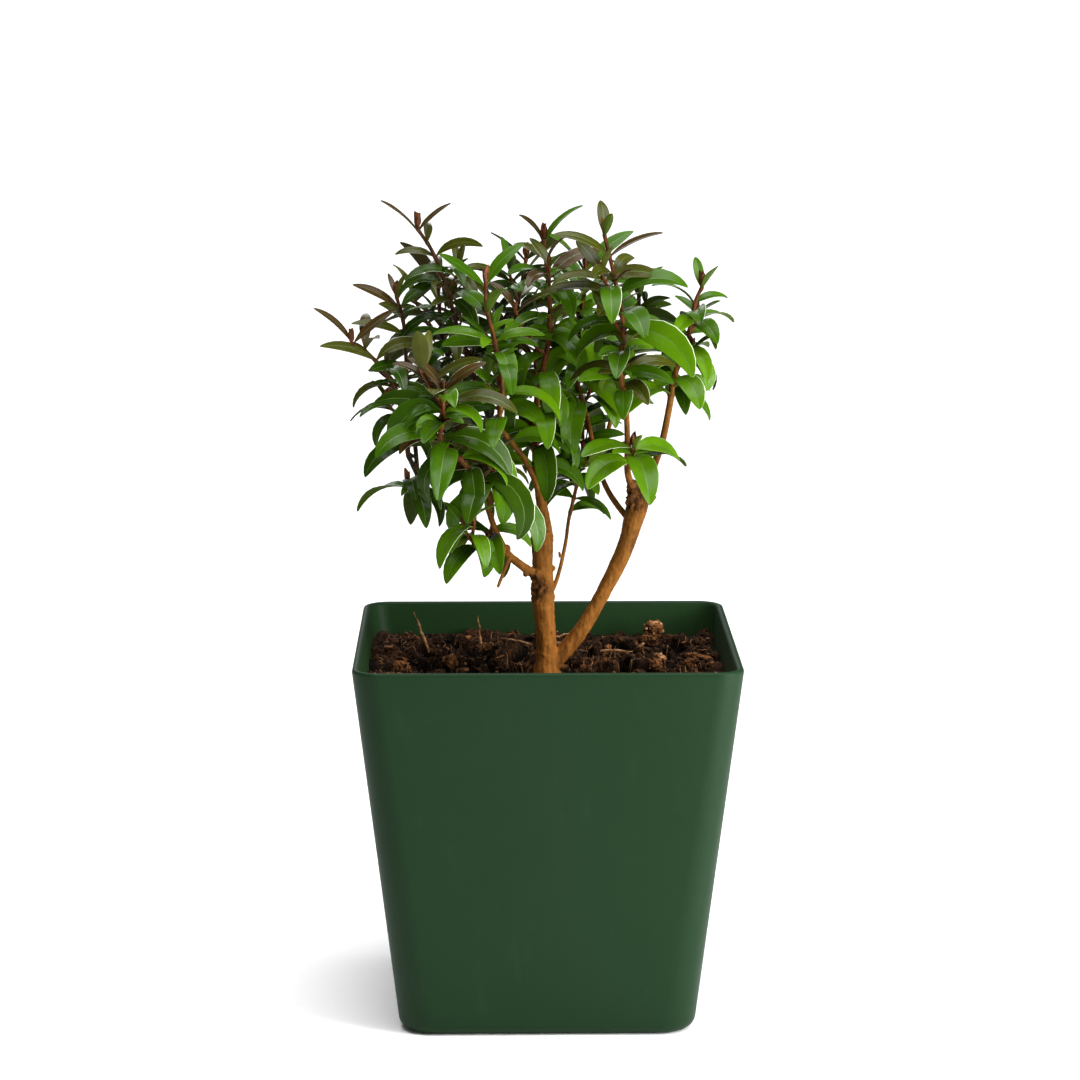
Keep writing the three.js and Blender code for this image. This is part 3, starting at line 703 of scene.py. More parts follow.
KNOBS = {
    # centre, radii: the flare at the root, cut heads, knuckles and collars where boughs leave
    "tan": [
        ((0.4, -11.8, 117.6), (4.9, 4.7, 2.6)),
        ((2.8, -11.6, 121.0), (2.8, 2.8, 2.6)),
        ((-2.8, -9.7, 163.6), (2.7, 2.9, 2.7)),
        ((0.6, -9.7, 164.9), (2.0, 2.4, 1.5)),
        ((-3.4, -11.2, 151.4), (2.0, 2.0, 2.4)),
        ((1.9, -10.1, 144.0), (1.3, 1.5, 1.7)),
        ((2.4, -10.6, 154.0), (0.9, 1.0, 0.9)),
        ((-7.2, -13.6, 152.4), (0.9, 0.9, 0.8)),
        ((31.2, -5.6, 179.8), (3.6, 3.5, 2.9)),
        ((34.9, -5.2, 180.2), (2.0, 2.4, 2.0)),
        ((29.9, -6.6, 181.6), (2.2, 2.4, 2.0)),
        ((29.0, -8.2, 178.2), (1.3, 1.2, 1.5)),
        ((32.6, -8.7, 180.6), (1.2, 1.1, 1.2)),
        ((34.6, -7.4, 177.6), (1.0, 1.0, 1.6)),
        ((31.0, -8.9, 182.2), (1.1, 1.0, 0.9)),
        ((-3.3, -11.6, 148.6), (1.7, 1.6, 3.6)),
        ((-3.9, -12.4, 145.0), (0.9, 0.9, 2.2)),
        ((-3.0, -13.0, 151.8), (1.3, 1.2, 2.0)),
        ((-4.0, -10.8, 156.4), (0.9, 1.0, 2.2)),
        ((33.4, -6.0, 174.2), (1.5, 1.7, 2.0)),
        ((28.2, -6.6, 166.5), (1.6, 1.7, 2.2)),
        ((-0.6, -8.7, 172.4), (1.9, 1.9, 1.5)),
        ((-13.6, -17.8, 162.0), (1.5, 1.5, 1.6)),
        ((-2.6, -7.2, 181.6), (1.6, 1.5, 1.4)),
    ],
    "dark": [
        ((-43.6, -2.4, 184.8), (1.2, 1.2, 1.4)),
        ((-39.4, -5.6, 178.6), (1.2, 1.2, 1.2)),
    ],
}
STUBS = {
    # dead stubs and snags: foot, tip, radius
    "tan": [
        ((-12.0, -16.8, 160.4), (-16.6, -19.5, 149.0), 0.75),
        ((5.0, -2.6, 156.4), (4.6, -3.0, 158.4), 0.6),
        ((27.6, -6.8, 161.0), (25.9, -7.4, 163.4), 0.7),
        ((35.9, -5.2, 176.0), (37.6, -5.4, 178.2), 0.8),
    ],
    "dark": [
        ((-44.5, 0.6, 190.6), (-47.8, 0.4, 193.0), 0.6),
    ],
}
STUB_TAPER = np.array([1.2, 1, 0.95, 0.9, 0.85, 0.75])
SCARS = [
    # x, y, z and reach of the dark, ragged old wounds
    (-4.9, -13.5, 147.8, 5.2),
    (30.6, -7.6, 179.6, 6.4),
]
LIMB_STEP = 1.5
STEM_OVERLAP = 0.8
RELIEF_DEPTH = 0.4
FULL_RELIEF_RADIUS = 3.6
READ_AT_ONCE = 4000


def spaced(points, steps):
    """Points at even steps along a smooth line through these points."""
    given = np.array(points, float)
    ends = np.vstack([2 * given[0] - given[1], given, 2 * given[-1] - given[-2]])
    line = []
    for i in range(201):
        t = (len(given) - 1) * i / 200
        k = min(int(t), len(given) - 2)
        w = t - k
        before, here, there, after = ends[k:k + 4]
        out, into = 0.5 * (there - before), 0.5 * (after - here)
        line.append(here + out * w + (-3 * here + 3 * there - 2 * out - into) * w ** 2
                    + (2 * here - 2 * there + out + into) * w ** 3)
    line = np.array(line)
    run = np.concatenate([[0], np.cumsum(np.linalg.norm(np.diff(line, axis=0), axis=1))])
    places = np.linspace(0, run[-1], steps + 1)
    return np.stack([np.interp(places, run, line[:, axis]) for axis in range(3)], 1)


def limb_line(name):
    """Points along a limb at even steps, and the radius at each."""
    path = LIMBS[name]["path"]
    length = sum(math.dist(a, b) for a, b in zip(path, path[1:]))
    line = spaced(path, max(4, round(length / LIMB_STEP)))
    radii = LIMBS[name]["radii"]
    return line, np.interp(np.linspace(0, 1, len(line)), np.linspace(0, 1, len(radii)), radii)


limb_points = np.concatenate([limb_line(name)[0] for name in LIMBS])
limb_reach = np.concatenate([limb_line(name)[1] for name in LIMBS])


def melted(name, gathered, grain):
    """One closed skin round overlapping forms: filled with small cubes of this size, then smoothed."""
    rough = gathered.piece(name + "_rough", [])
    remesh = rough.modifiers.new("melt", "REMESH")
    remesh.mode = "VOXEL"
    remesh.voxel_size = grain * MM
    soften = rough.modifiers.new("soften", "SMOOTH")
    soften.factor = 0.5
    soften.iterations = 3
    ready = rough.evaluated_get(bpy.context.evaluated_depsgraph_get())
    mesh = bpy.data.meshes.new_from_object(ready)
    bpy.data.objects.remove(rough)
    mesh.name = name
    made = bpy.data.objects.new(name, mesh)
    bpy.context.scene.collection.objects.link(made)
    return made


def bark_relief(made):
    """Moves the skin in and out by furrows that run up the limb, scars across it and fine scales."""
    mesh = made.data
    count = len(mesh.vertices)
    places = np.empty(count * 3)
    normals = np.empty(count * 3)
    mesh.vertices.foreach_get("co", places)
    mesh.vertex_normals.foreach_get("vector", normals)
    places = places.reshape(-1, 3) / MM
    normals = normals.reshape(-1, 3)
    relief = np.empty(count)
    for i, (x, y, z) in enumerate(places):
        bend = noise.noise(Vector((x / 4, y / 4, z / 9)))
        furrow = noise.noise(Vector((x * 0.55 + bend, y * 0.55, z * 0.07 + bend)))
        scar = noise.noise(Vector((x * 0.3, y * 0.3, z * 0.8)))
        scale = noise.fractal(Vector((x * 0.7, y * 0.7, z * 0.3)), 0.8, 2.2, 4)
        relief[i] = 0.3 * furrow + 0.7 * max(scar, 0) ** 2 + 0.4 * scale
        near = max(ease(reach + 1.5 - math.dist((x, y, z), spot), 0, 3.5) for *spot, reach in SCARS)
        if near > 0:
            relief[i] += 2.6 * near * noise.fractal(Vector((x * 0.8, y * 0.8, z * 0.6)), 0.9, 2.1, 4)
    thick = np.empty(count)
    for start in range(0, count, READ_AT_ONCE):
        part = places[start:start + READ_AT_ONCE]
        gaps = np.linalg.norm(part[:, None, :] - limb_points[None, :, :], axis=2)
        thick[start:start + READ_AT_ONCE] = limb_reach[np.argmin(gaps, axis=1)]
    push = relief * RELIEF_DEPTH * np.clip(thick / FULL_RELIEF_RADIUS, 0.25, 1.1)
    moved = places + normals * push[:, None]
    moved[:, 2] = np.maximum(moved[:, 2], FOOT[2] - 0.6)
    mesh.vertices.foreach_set("co", (moved * MM).ravel())
    # The relief is kept on the skin as well: by it the bark is coloured darker in its furrows and paler on
    # its ridges.
    relief_and_rim_highlight = mesh.attributes.new("relief_and_rim_highlight", "FLOAT", "POINT")
    relief_and_rim_highlight.data.foreach_set("value", np.clip(0.5 + relief * 0.8, 0, 1))
    mesh.polygons.foreach_set("use_smooth", [True] * len(mesh.polygons))
    mesh.update()


def attribute(place, name):
    """A value kept at each point of the mesh."""
    return place.node("ShaderNodeAttribute", {"attribute_name": name}, {}, "Fac")


def scar_share(place, x, y, z, reach):
    """1 within a dark old scar round this point in millimetres, fading out raggedly."""
    spot = (x * MM, y * MM, z * MM)
    away = place.node("ShaderNodeVectorMath", {"operation": "DISTANCE"}, {0: place, 1: spot}, "Value")
    return (away + 0.004 * place.clouds(420.0, 4)).between((reach + 3.4) * MM, (reach + 0.8) * MM)


tan_bark, shader, place = new_material("tan_bark")
# Darker in the furrows and paler on the ridges of the relief.
relief_and_rim_highlight = attribute(place, "relief_and_rim_highlight")
patches = place.stretched(1, 1, 0.5).clouds(130.0, 3)
flecks = place.stretched(1, 1, 0.35).clouds(900.0, 4)
# The bark is painted paler towards the foot: painted light on the lower trunk, where the pot's rim and the
# crown shade it.
low = place.node("ShaderNodeSeparateXYZ", {}, {0: place}, "Z").between(0.165, 0.125)
tan = relief_and_rim_highlight.between(0.1, 0.9).blend(
    low.blend((0.082, 0.029, 0.0024), (0.170, 0.057, 0.0062)),
    low.blend((0.190, 0.075, 0.0110), (0.345, 0.132, 0.0240)))
scars = scar_share(place, *SCARS[0])
scars = scars.maths("MAXIMUM", scars, scar_share(place, *SCARS[1]))
pits = place.clouds(520.0, 4).between(0.60, 0.42)
wound = pits.blend((0.105, 0.040, 0.0080), (0.022, 0.0080, 0.0030))
aged = patches.between(0.56, 0.74).blend(tan, (0.052, 0.020, 0.0045))
aged = (0.9 * scars).blend(aged, wound)
set_finish(
    shader,
    Base_Color=flecks.between(0.61, 0.74).blend(aged, (0.040, 0.016, 0.004)),
    Roughness=0.55 + 0.3 * flecks,
    Normal=flecks.relief(0.00030),
    Specular_IOR_Level=0.08,
)
dark_bark, shader, place = new_material("dark_bark")
# Darker in the furrows and paler on the ridges of the relief, as on the tan bark.
relief_and_rim_highlight = attribute(place, "relief_and_rim_highlight")
flecks = place.stretched(1, 1, 0.4).clouds(700.0, 4)
set_finish(
    shader,
    Base_Color=flecks.between(0.5, 0.75).blend(
        relief_and_rim_highlight.between(0.3, 0.75).blend((0.012, 0.007, 0.004), (0.038, 0.020, 0.010)), (0.07, 0.038, 0.02)),
    Roughness=0.6 + 0.3 * flecks,
    Normal=flecks.relief(0.00018),
    Specular_IOR_Level=0.3,
)


def into_the_stem(line, radii):
    """A limb carried on a little, so that it and the shoot that grows from it show no joint."""
    end = line[-1] - line[-2]
    beyond = line[-1] + end / np.linalg.norm(end) * STEM_OVERLAP
    return np.vstack([line, beyond]), np.append(radii, radii[-1])


def limb_forms(bark, names, sides):
    """The overlapping forms of the limbs with one bark: tubes, knobs and dead stubs."""
    forms = Gathered()
    for name in names:
        add_tube(forms, *into_the_stem(*limb_line(name)), sides)
    knob_points, knob_faces = ball(3)
    for centre, radii in KNOBS[bark]:
        forms.add(knob_points * np.array(radii) + np.array(centre), knob_faces)
    for foot, tip, radius in STUBS[bark]:
        add_tube(forms, np.linspace(foot, tip, 6), radius * STUB_TAPER, 8)
    return forms


tan_limbs = melted("tan_bark_limbs", limb_forms("tan", TAN_LIMBS, 14), 0.3)
bark_relief(tan_limbs)
tan_limbs.data.materials.append(tan_bark)
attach(tan_limbs, "root")
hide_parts(*TAN_LIMBS)

dark_limbs = melted("dark_bark_limbs", limb_forms("dark", DARK_LIMBS, 12), 0.26)
bark_relief(dark_limbs)
dark_limbs.data.materials.append(dark_bark)
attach(dark_limbs, "root")
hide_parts(*DARK_LIMBS)

# Young stems and twigs
# The growing shoots that carry the leaves: tan by the bough, red-brown above, ringed at each pair.
# The source's seeded rule gives their lines; short side shoots in the lower axils carry it further.

CLEAR = 0.3
STEM_TIP = 0.6
TWIG_PAIRS = 4
TWIG_SHARE = 0.8
TURN_TO_LIGHT = 0.7
SIDE_SHARE = 0.36
TWIG_RADII = (0.62, 0.5)
SIDE_RADII = (0.36, 0.24)

MASSES = {
    # bough and kind of wood, pairs of leaves, turn of the first pair, length of a leaf and its width as
    # a share of that, how far leaves hang, 1 where they face the front and -1 the back, then the twigs,
    # the seed, how young the upper leaves are where that isn't 1, the stem's points beyond the bough,
    # and the tones of the lower and the upper leaves
    "centre_foliage": {
        "bough": "central_leader", "wood": "tan", "pairs": 13, "phase": 30, "leaf": 25, "width": 0.34,
        "hang": 2, "faces": 1, "twigs": 4, "twig_length": 18, "seed": 593,
        "stem": [(-3.5, -3.5, 194), (-2.9, -3.4, 211.7), (1, 2.4, 231.2), (1.3, 1, 246.8),
                 (-0.7, 4.6, 265.3)],
        "tones": (["fresh", "fresh", "mid", "mid"], ["olive", "mid", "plum"])},
    "centre_left_foliage": {
        "bough": "centre_left_bough", "wood": "tan", "pairs": 7, "phase": 20, "leaf": 27, "width": 0.34,
        "hang": 1.3, "faces": 1, "twigs": 2, "twig_length": 14, "seed": 9518,
        "stem": [(-14.3, -13, 201.1), (-15.7, -15.8, 205.7), (-15, -18, 218.8), (-17.8, -18.4, 234.8),
                 (-20.3, -17.7, 244.3), (-20.5, -16.6, 252.8)],
        "tones": (["bright", "fresh", "mid"], ["fresh", "mid"])},
    "left_front_foliage": {
        "bough": "left_bough", "wood": "tan", "pairs": 12, "phase": 0, "leaf": 28, "width": 0.36,
        "hang": 1.8, "faces": 1, "twigs": 3, "twig_length": 13, "seed": 375,
        "stem": [(-19.6, -25.2, 183.3), (-29.2, -29.8, 194.6), (-35.6, -30.4, 200.5),
                 (-34.8, -33.4, 211.6), (-41.7, -36.9, 224.9)],
        "tones": (["fresh", "mid", "mid", "deep"], ["olive", "plum"])},
    "left_outer_foliage": {
        "bough": "far_left_bough", "wood": "plum", "pairs": 9, "phase": 20, "leaf": 23, "width": 0.27,
        "hang": 1.3, "faces": 1, "twigs": 1, "twig_length": 8, "seed": 4101,
        "stem": [(-49.2, 1.5, 205.7), (-53.8, 0.7, 218.6), (-62.8, 1.8, 228.5), (-66.5, -0.6, 230.3)],
        "tones": (["deep", "deep", "olive"], ["plum", "olive", "plum"])},
    "left_side_foliage": {
        "bough": "left_side_bough", "wood": "tan", "pairs": 3, "phase": 80, "leaf": 24, "width": 0.3,
        "hang": 1.7, "faces": 1, "twigs": 0, "twig_length": 9, "seed": 2152, "youth": 0.2,
        "stem": [(-47.4, -13.7, 183.7)],
        "tones": (["deep", "deep", "mid"], ["deep", "olive"])},
    "left_upper_foliage": {
        "bough": "left_upper_bough", "wood": "plum", "pairs": 8, "phase": 30, "leaf": 20, "width": 0.26,
        "hang": 0.4, "faces": 1, "twigs": 0, "twig_length": 10, "seed": 41,
        "stem": [(-47.9, 9.8, 222.2), (-48.8, 10.6, 236), (-51, 3.8, 246)],
        "tones": (["olive", "deep", "mid"], ["plum", "olive"])},
    "left_top_foliage": {
        "bough": "left_top_bough", "wood": "plum", "pairs": 11, "phase": 10, "leaf": 24, "width": 0.25,
        "hang": 1.8, "faces": 1, "twigs": 2, "twig_length": 7, "seed": 3385,
        "stem": [(-29.8, 14.6, 232.2), (-33.8, 10.3, 247.9), (-38.6, 9.2, 260.6), (-43.9, 6.9, 269)],
        "tones": (["olive", "deep"], ["olive", "plum"])},
    "left_low_foliage": {
        "bough": "left_low_bough", "wood": "tan", "pairs": 3, "phase": 30, "leaf": 24, "width": 0.34,
        "hang": 2, "faces": 1, "twigs": 2, "twig_length": 10, "seed": 776, "youth": 0.2,
        "stem": [(-24.7, -23.3, 164.8), (-24.7, -28.9, 172.1)],
        "tones": (["fresh", "mid"], ["fresh"])},
    "right_foliage": {
        "bough": "right_leader", "wood": "tan", "pairs": 8, "phase": 20, "leaf": 22, "width": 0.42,
        "hang": 2, "faces": 1, "twigs": 3, "twig_length": 9, "seed": 8713,
        "stem": [(44.1, 0, 218.7), (48.6, 4.2, 230.7), (51.3, 4.5, 243.7), (53.7, 3.7, 249.1)],
        "tones": (["bright", "fresh", "mid"], ["fresh", "mid"])},
    "right_low_foliage": {
        "bough": "right_low_bough", "wood": "tan", "pairs": 3, "phase": 20, "leaf": 29, "width": 0.38,
        "hang": 1, "faces": 1, "twigs": 0, "twig_length": 7, "seed": 97, "youth": 0.2,
        "stem": [(28.3, -21.1, 192.4), (29.5, -22.1, 197.2)],
        "tones": (["fresh", "fresh", "mid"], ["fresh"])},
    "right_centre_foliage": {
        "bough": "right_centre_bough", "wood": "tan", "pairs": 9, "phase": 80, "leaf": 27,
        "width": 0.38, "hang": 1.1, "faces": 1, "twigs": 3, "twig_length": 10, "seed": 7090,
        "stem": [(24.8, -18.4, 223.6), (26, -17.8, 236.6), (23.6, -19, 251), (19.4, -14.5, 268.9)],
        "tones": (["fresh", "mid", "olive"], ["olive", "plum", "mid"])},
    "inner_right_foliage": {
        "bough": "inner_right_bough", "wood": "tan", "pairs": 7, "phase": 45, "leaf": 27, "width": 0.36,
        "hang": 2, "faces": 1, "twigs": 4, "twig_length": 7, "seed": 938,
        "stem": [(11, 15.1, 217.5), (12.6, 20, 235.3), (14.2, 20.2, 253.8)],
        "tones": (["bright", "fresh", "mid"], ["mid"])},
    "inner_foliage": {
        "bough": "thin_back_stem", "wood": "tan", "pairs": 9, "phase": 60, "leaf": 22, "width": 0.32,
        "hang": 1.1, "faces": 1, "twigs": 1, "twig_length": 9, "seed": 798,
        "stem": [(11.9, 10.8, 184.5), (13, 14.2, 197.8), (8.9, 19.9, 205.4)],
        "tones": (["fresh", "mid"], ["mid"])},
    "back_left_foliage": {
        "bough": "back_left_bough", "wood": "plum", "pairs": 7, "phase": 30, "leaf": 27, "width": 0.28,
        "hang": 1.5, "faces": -1, "twigs": 2, "twig_length": 15, "seed": 707,
        "stem": [(-35.8, 32.5, 229), (-37.1, 33.5, 246.3)],
        "tones": (["deep", "olive"], ["olive", "plum"])},
    "back_foliage": {
        "bough": "back_bough", "wood": "tan", "pairs": 10, "phase": 60, "leaf": 27, "width": 0.32,
        "hang": 0.4, "faces": -1, "twigs": 3, "twig_length": 18, "seed": 1867,
        "stem": [(-10.2, 31, 231.8), (-6.3, 34.7, 256.2)],
        "tones": (["mid", "fresh", "deep"], ["mid", "olive"])},
    "back_low_foliage": {
        "bough": "back_low_bough", "wood": "tan", "pairs": 7, "phase": 80, "leaf": 24, "width": 0.32,
        "hang": 0.9, "faces": -1, "twigs": 0, "twig_length": 7, "seed": 3927,
        "stem": [(-20.5, 28.8, 195.4)],
        "tones": (["fresh", "mid"], ["mid"])},
    "back_right_foliage": {
        "bough": "back_right_bough", "wood": "tan", "pairs": 8, "phase": 60, "leaf": 22, "width": 0.34,
        "hang": 0.5, "faces": -1, "twigs": 2, "twig_length": 11, "seed": 3354,
        "stem": [(33.1, 32.7, 233.4), (32.9, 36, 246.1)],
        "tones": (["fresh", "mid", "deep"], ["mid", "fresh"])},
}


def dice(seed):
    """Draws between two values, the same from run to run."""
    state = seed * 7919
    span = 2 ** 32

    def draw(low, high):
        nonlocal state
        state = (state * 1664525 + 1013904223) % span
        return low + (high - low) * state / span
    return draw


def leaf_pairs(line, options, draw):
    """Crosswise pairs along a line. Lower leaves reach out and hang, and the last ones stand up."""
    leaves = []
    for pair in range(options["pairs"]):
        t = (pair + 0.6) / (options["pairs"] - 0.25)
        place = t * (len(line) - 1)
        index = min(int(place), len(line) - 2)
        root = line[index] + (line[index + 1] - line[index]) * (place - index)
        young = options.get("youth", 1) * max(0.0, (t - 0.5) / 0.5)
        turn = math.radians(options["phase"] + 90 * pair + draw(-18, 18))
        for half in (0, math.pi):
            heading = turn + half + draw(-0.25, 0.25)
            leaves.append({
                "root": root,
                "heading": heading,
                "length": options["leaf"] * draw(0.7, 1.2) * (1 - 0.25 * young),
                "width": options["width"] * (1 - 0.3 * young),
                "rise": draw(0.2, 0.7) + 0.55 * young,
                "droop": draw(-1.35, -0.6) * options["hang"] * (1 - young) + 0.45 * young,
                "roll": draw(-0.35, 0.35) - TURN_TO_LIGHT * math.cos(heading) * options["faces"],
                "along": t,
            })
    return leaves


def direction(heading, slope):
    """A step of 1 at a heading round the vertical and a slope over the level."""
    flat = math.cos(slope)
    return np.array([math.cos(heading) * flat, math.sin(heading) * flat, math.sin(slope)])


def mass_forms(mass):
    """The stem's line, its leaves, and the twigs with theirs."""
    path = LIMBS[mass["bough"]]["path"]
    tip = np.array(path[-1], float)
    along = tip - spaced(path, 40)[39]
    start = tip + along / np.linalg.norm(along) * CLEAR
    draw = dice(mass["seed"])
    line = spaced([start, *mass["stem"]], 60)
    stem_leaves = leaf_pairs(line, mass, draw)
    twigs = []
    for i in range(mass["twigs"]):
        axil = stem_leaves[2 * int((i + 0.4) / mass["twigs"] * (mass["pairs"] - 2)) + i % 2]
        heading = axil["heading"] + draw(-0.3, 0.3)
        slope = draw(0.5, 0.9)
        reach = mass["twig_length"] * draw(0.8, 1.15)
        middle = axil["root"] + direction(heading, slope) * reach / 2
        end = middle + direction(heading, slope + 0.4) * reach / 2
        twig_line = np.array([axil["root"], middle, end])
        options = {
            "pairs": TWIG_PAIRS, "phase": draw(0, 90), "leaf": mass["leaf"] * TWIG_SHARE,
            "width": mass["width"], "hang": mass["hang"], "faces": mass["faces"]}
        twigs.append((twig_line, leaf_pairs(twig_line, options, draw)[2:]))
    return line, stem_leaves, twigs


def side_shoots(mass, stem_leaves):
    """Short shoots with two small pairs of leaves, in about a third of the lower axils."""
    draw = dice(mass["seed"] + 5000)
    shoots = []
    for leaf in stem_leaves[2:]:
        if leaf["along"] < 0.82 and draw(0, 1) < SIDE_SHARE:
            heading = leaf["heading"] + draw(-0.4, 0.4)
            slope = draw(0.5, 1.1)
            reach = draw(3.0, 7.0)
            middle = leaf["root"] + direction(heading, slope) * reach / 2
            end = middle + direction(heading, slope + 0.3) * reach / 2
            shoot_line = np.array([leaf["root"], middle, end])
            options = {
                "pairs": 2, "phase": draw(0, 90), "leaf": mass["leaf"] * draw(0.3, 0.48),
                "width": mass["width"], "hang": mass["hang"] * 0.4, "faces": mass["faces"]}
            shoots.append((shoot_line, leaf_pairs(shoot_line, options, draw)))
    return shoots


def ringed(line, thick, thin, leaves):
    """Radii along a shoot, with a small swelling where each pair of leaves stands."""
    run = np.linspace(0, 1, len(line))
    radii = thick + (thin - thick) * run
    for leaf in leaves[::2]:
        gaps = np.linalg.norm(line - leaf["root"], axis=1)
        radii = radii * (1 + 0.3 * np.exp(-(gaps / 0.7) ** 2))
    return radii


STEM_FINISHES = [
    # name, scale of the flecks, dark and light colour, least roughness, its spread, depth of the flecks
    ("woody_stem", 800.0, (0.070, 0.026, 0.003), (0.190, 0.078, 0.012), 0.55, 0.25, 0.00015),
    ("red_stem", 700.0, (0.042, 0.0125, 0.002), (0.135, 0.042, 0.008), 0.42, 0.2, 0.0001),
    ("plum_stem", 700.0, (0.023, 0.010, 0.003), (0.078, 0.032, 0.009), 0.45, 0.2, 0.0001),
]
stem_finishes = []
for name, scale, dark, light, roughness, spread, depth in STEM_FINISHES:
    stem_finish, shader, place = new_material(name)
    flecks = place.stretched(1, 1, 0.4).clouds(scale, 4)
    set_finish(
        shader,
        Base_Color=flecks.between(0.35, 0.65).blend(dark, light),
        Roughness=roughness + spread * flecks,
        Normal=flecks.relief(depth),
        Specular_IOR_Level=0.12,
    )
    stem_finishes.append(stem_finish)

STEM_KINDS = {
    # finish of the lower and the upper part, share of the length that the lower one covers
    "tan": (0, 1, 0.35),
    "plum": (2, 2, 0),
}
grown = {name: mass_forms(mass) for name, mass in MASSES.items()}
fine_shoots = {name: side_shoots(MASSES[name], grown[name][1]) for name in MASSES}
stems = Gathered()
tips = []
for name, (line, stem_leaves, twigs) in grown.items():
    mass = MASSES[name]
    thick = LIMBS[mass["bough"]]["radii"][-1]
    length = np.linalg.norm(np.diff(line, axis=0), axis=1).sum()
    fine = spaced(line[::4], max(12, round(length / 0.8)))
    rings = tube(fine, ringed(fine, thick, STEM_TIP, stem_leaves), 8)
    woody, young, woody_share = STEM_KINDS[mass["wood"]]
    faces = skin(rings)
    turn_at = len(faces) * woody_share
    stems.add(np.concatenate(rings), faces, [woody if i < turn_at else young for i in range(len(faces))])
    tips.append((name, fine[-1], fine[-1] - fine[-3], 1.0))
    for twig_line, leaves in twigs:
        fine = spaced(twig_line, 18)
        rings = tube(fine, ringed(fine, *TWIG_RADII, leaves), 6)
        stems.add(np.concatenate(rings), skin(rings), young)
        tips.append((name, fine[-1], fine[-1] - fine[-3], 0.75))
    for shoot_line, leaves in fine_shoots[name]:
        fine = spaced(shoot_line, 6)
        rings = tube(fine, np.linspace(*SIDE_RADII, len(fine)), 5)
        stems.add(np.concatenate(rings), skin(rings), young)
stem_piece = stems.piece("young_stems", stem_finishes)
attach(stem_piece, "root")

# Leaves
# Opposite, glossy, pointed leaves with a sunk midrib and a pale edge, one margin of some painted near white,
# a painted highlight;
# bright green in front and right and darker at the left, partly painted light and shade; olive to plum on the
# young shoots at the upper left. Each is a closed blade, thicker at the midrib.

BLADE = [
    # place along the leaf, share of the full width
    (0.0, 0.16), (0.05, 0.17), (0.10, 0.32), (0.18, 0.58), (0.28, 0.82), (0.40, 0.97), (0.52, 1.0),
    (0.64, 0.94), (0.75, 0.80), (0.85, 0.59), (0.93, 0.36), (0.975, 0.18), (1.0, 0.0),
]
COLUMNS = [-1.0, -0.94, -0.5, -0.04, 0.04, 0.5, 0.94, 1.0]
STRIPS = ["edge", "blade", "blade", "rib", "blade", "blade", "edge"]
# bright, fresh, mid and deep are one green in lighter and darker copies. The lighter are dealt mostly to the
# masses at the front and right and the darker to those at the left and back: partly the leaves' own tone,
# partly painted light and shade.
TONES = {
    # upper side darkest and lightest, underside
    "bright": ((0.053, 0.134, 0.0008), (0.100, 0.218, 0.0014), (0.110, 0.175, 0.009)),
    "fresh": ((0.037, 0.101, 0.0008), (0.072, 0.170, 0.0014), (0.090, 0.145, 0.009)),
    "mid": ((0.024, 0.069, 0.0008), (0.048, 0.122, 0.0012), (0.060, 0.105, 0.008)),
    "deep": ((0.012, 0.033, 0.0006), (0.027, 0.064, 0.0010), (0.036, 0.060, 0.007)),
    "olive": ((0.030, 0.033, 0.0020), (0.062, 0.067, 0.0050), (0.066, 0.074, 0.010)),
    "plum": ((0.032, 0.017, 0.0045), (0.067, 0.036, 0.0095), (0.068, 0.053, 0.015)),
}
TONE_NAMES = list(TONES)
BLADE_THICKNESS = 0.34
EDGE_THINNING = 0.16
RIB_THICKNESS = 0.2
LIMB_GAP = 0.8
STEM_GAP = 1.5
LEAF_GAP = 2.4
LEAF_GAP_SHARE = 0.12
LOWEST_LEAF = 124


def leaf_materials():
    """Upper side, underside and edge for each tone, then the midrib and the leaf stalk."""
    made = []
    for tone, (dark, light, under) in TONES.items():
        upper, shader, place = new_material("leaf_" + tone)
        along = attribute(place, "along")
        across = attribute(place, "across")
        shade = attribute(place, "shade")
        drift = place.clouds(120.0, 2)
        beat = along * 70.0 - across * 11.0
        veins = beat.maths("SINE", beat, 0.0)
        pores = place.clouds(1500.0, 3)
        set_finish(
            shader,
            Base_Color=(0.47 * drift.between(0.3, 0.7) + 0.52 * shade + 0.012 * veins).blend(dark, light),
            Roughness=0.19 + 0.13 * drift,
            Normal=veins.relief(0.000006, pores.relief(0.00004)),
            Specular_IOR_Level=0.12,
        )
        lower, shader, place = new_material("leaf_back_" + tone)
        shade = attribute(place, "shade")
        drift = place.clouds(200.0, 3)
        set_finish(
            shader,
            Base_Color=(0.5 * drift.between(0.3, 0.7) + 0.5 * shade).blend(
                tuple(0.52 * channel for channel in under), tuple(0.8 * channel for channel in under)),
            Roughness=0.5 + 0.15 * drift,
            Normal=drift.relief(0.00008),
            Specular_IOR_Level=0.1,
        )
        edge, shader, place = new_material("leaf_edge_" + tone)
        # One margin of some leaves is painted nearly white: a painted highlight along the rolled edge.
        relief_and_rim_highlight = attribute(place, "shade").between(0.5, 0.7) * attribute(place, "rim")
        rim_highlight_colour = tuple(0.5 * bright + extra for bright, extra in zip(light, (0.46, 0.50, 0.36)))
        set_finish(
            shader,
            Base_Color=relief_and_rim_highlight.blend(light, rim_highlight_colour),
            Roughness=0.32 + 0.1 * place.clouds(300.0, 3),
            Specular_IOR_Level=0.25,
        )
        made += [upper, lower, edge]
    for name, dark, light, roughness in (
            ("leaf_midrib", (0.036, 0.088, 0.0025), (0.070, 0.145, 0.006), 0.4),
            ("leaf_stalk", (0.13, 0.035, 0.009), (0.22, 0.08, 0.02), 0.45)):
        trim, shader, place = new_material(name)
        drift = place.clouds(300.0, 3)
        set_finish(
            shader,
            Base_Color=drift.between(0.3, 0.7).blend(dark, light),
            Roughness=roughness + 0.1 * drift,
        )
        made.append(trim)
    return made


RIB, STALK = 3 * len(TONES), 3 * len(TONES) + 1


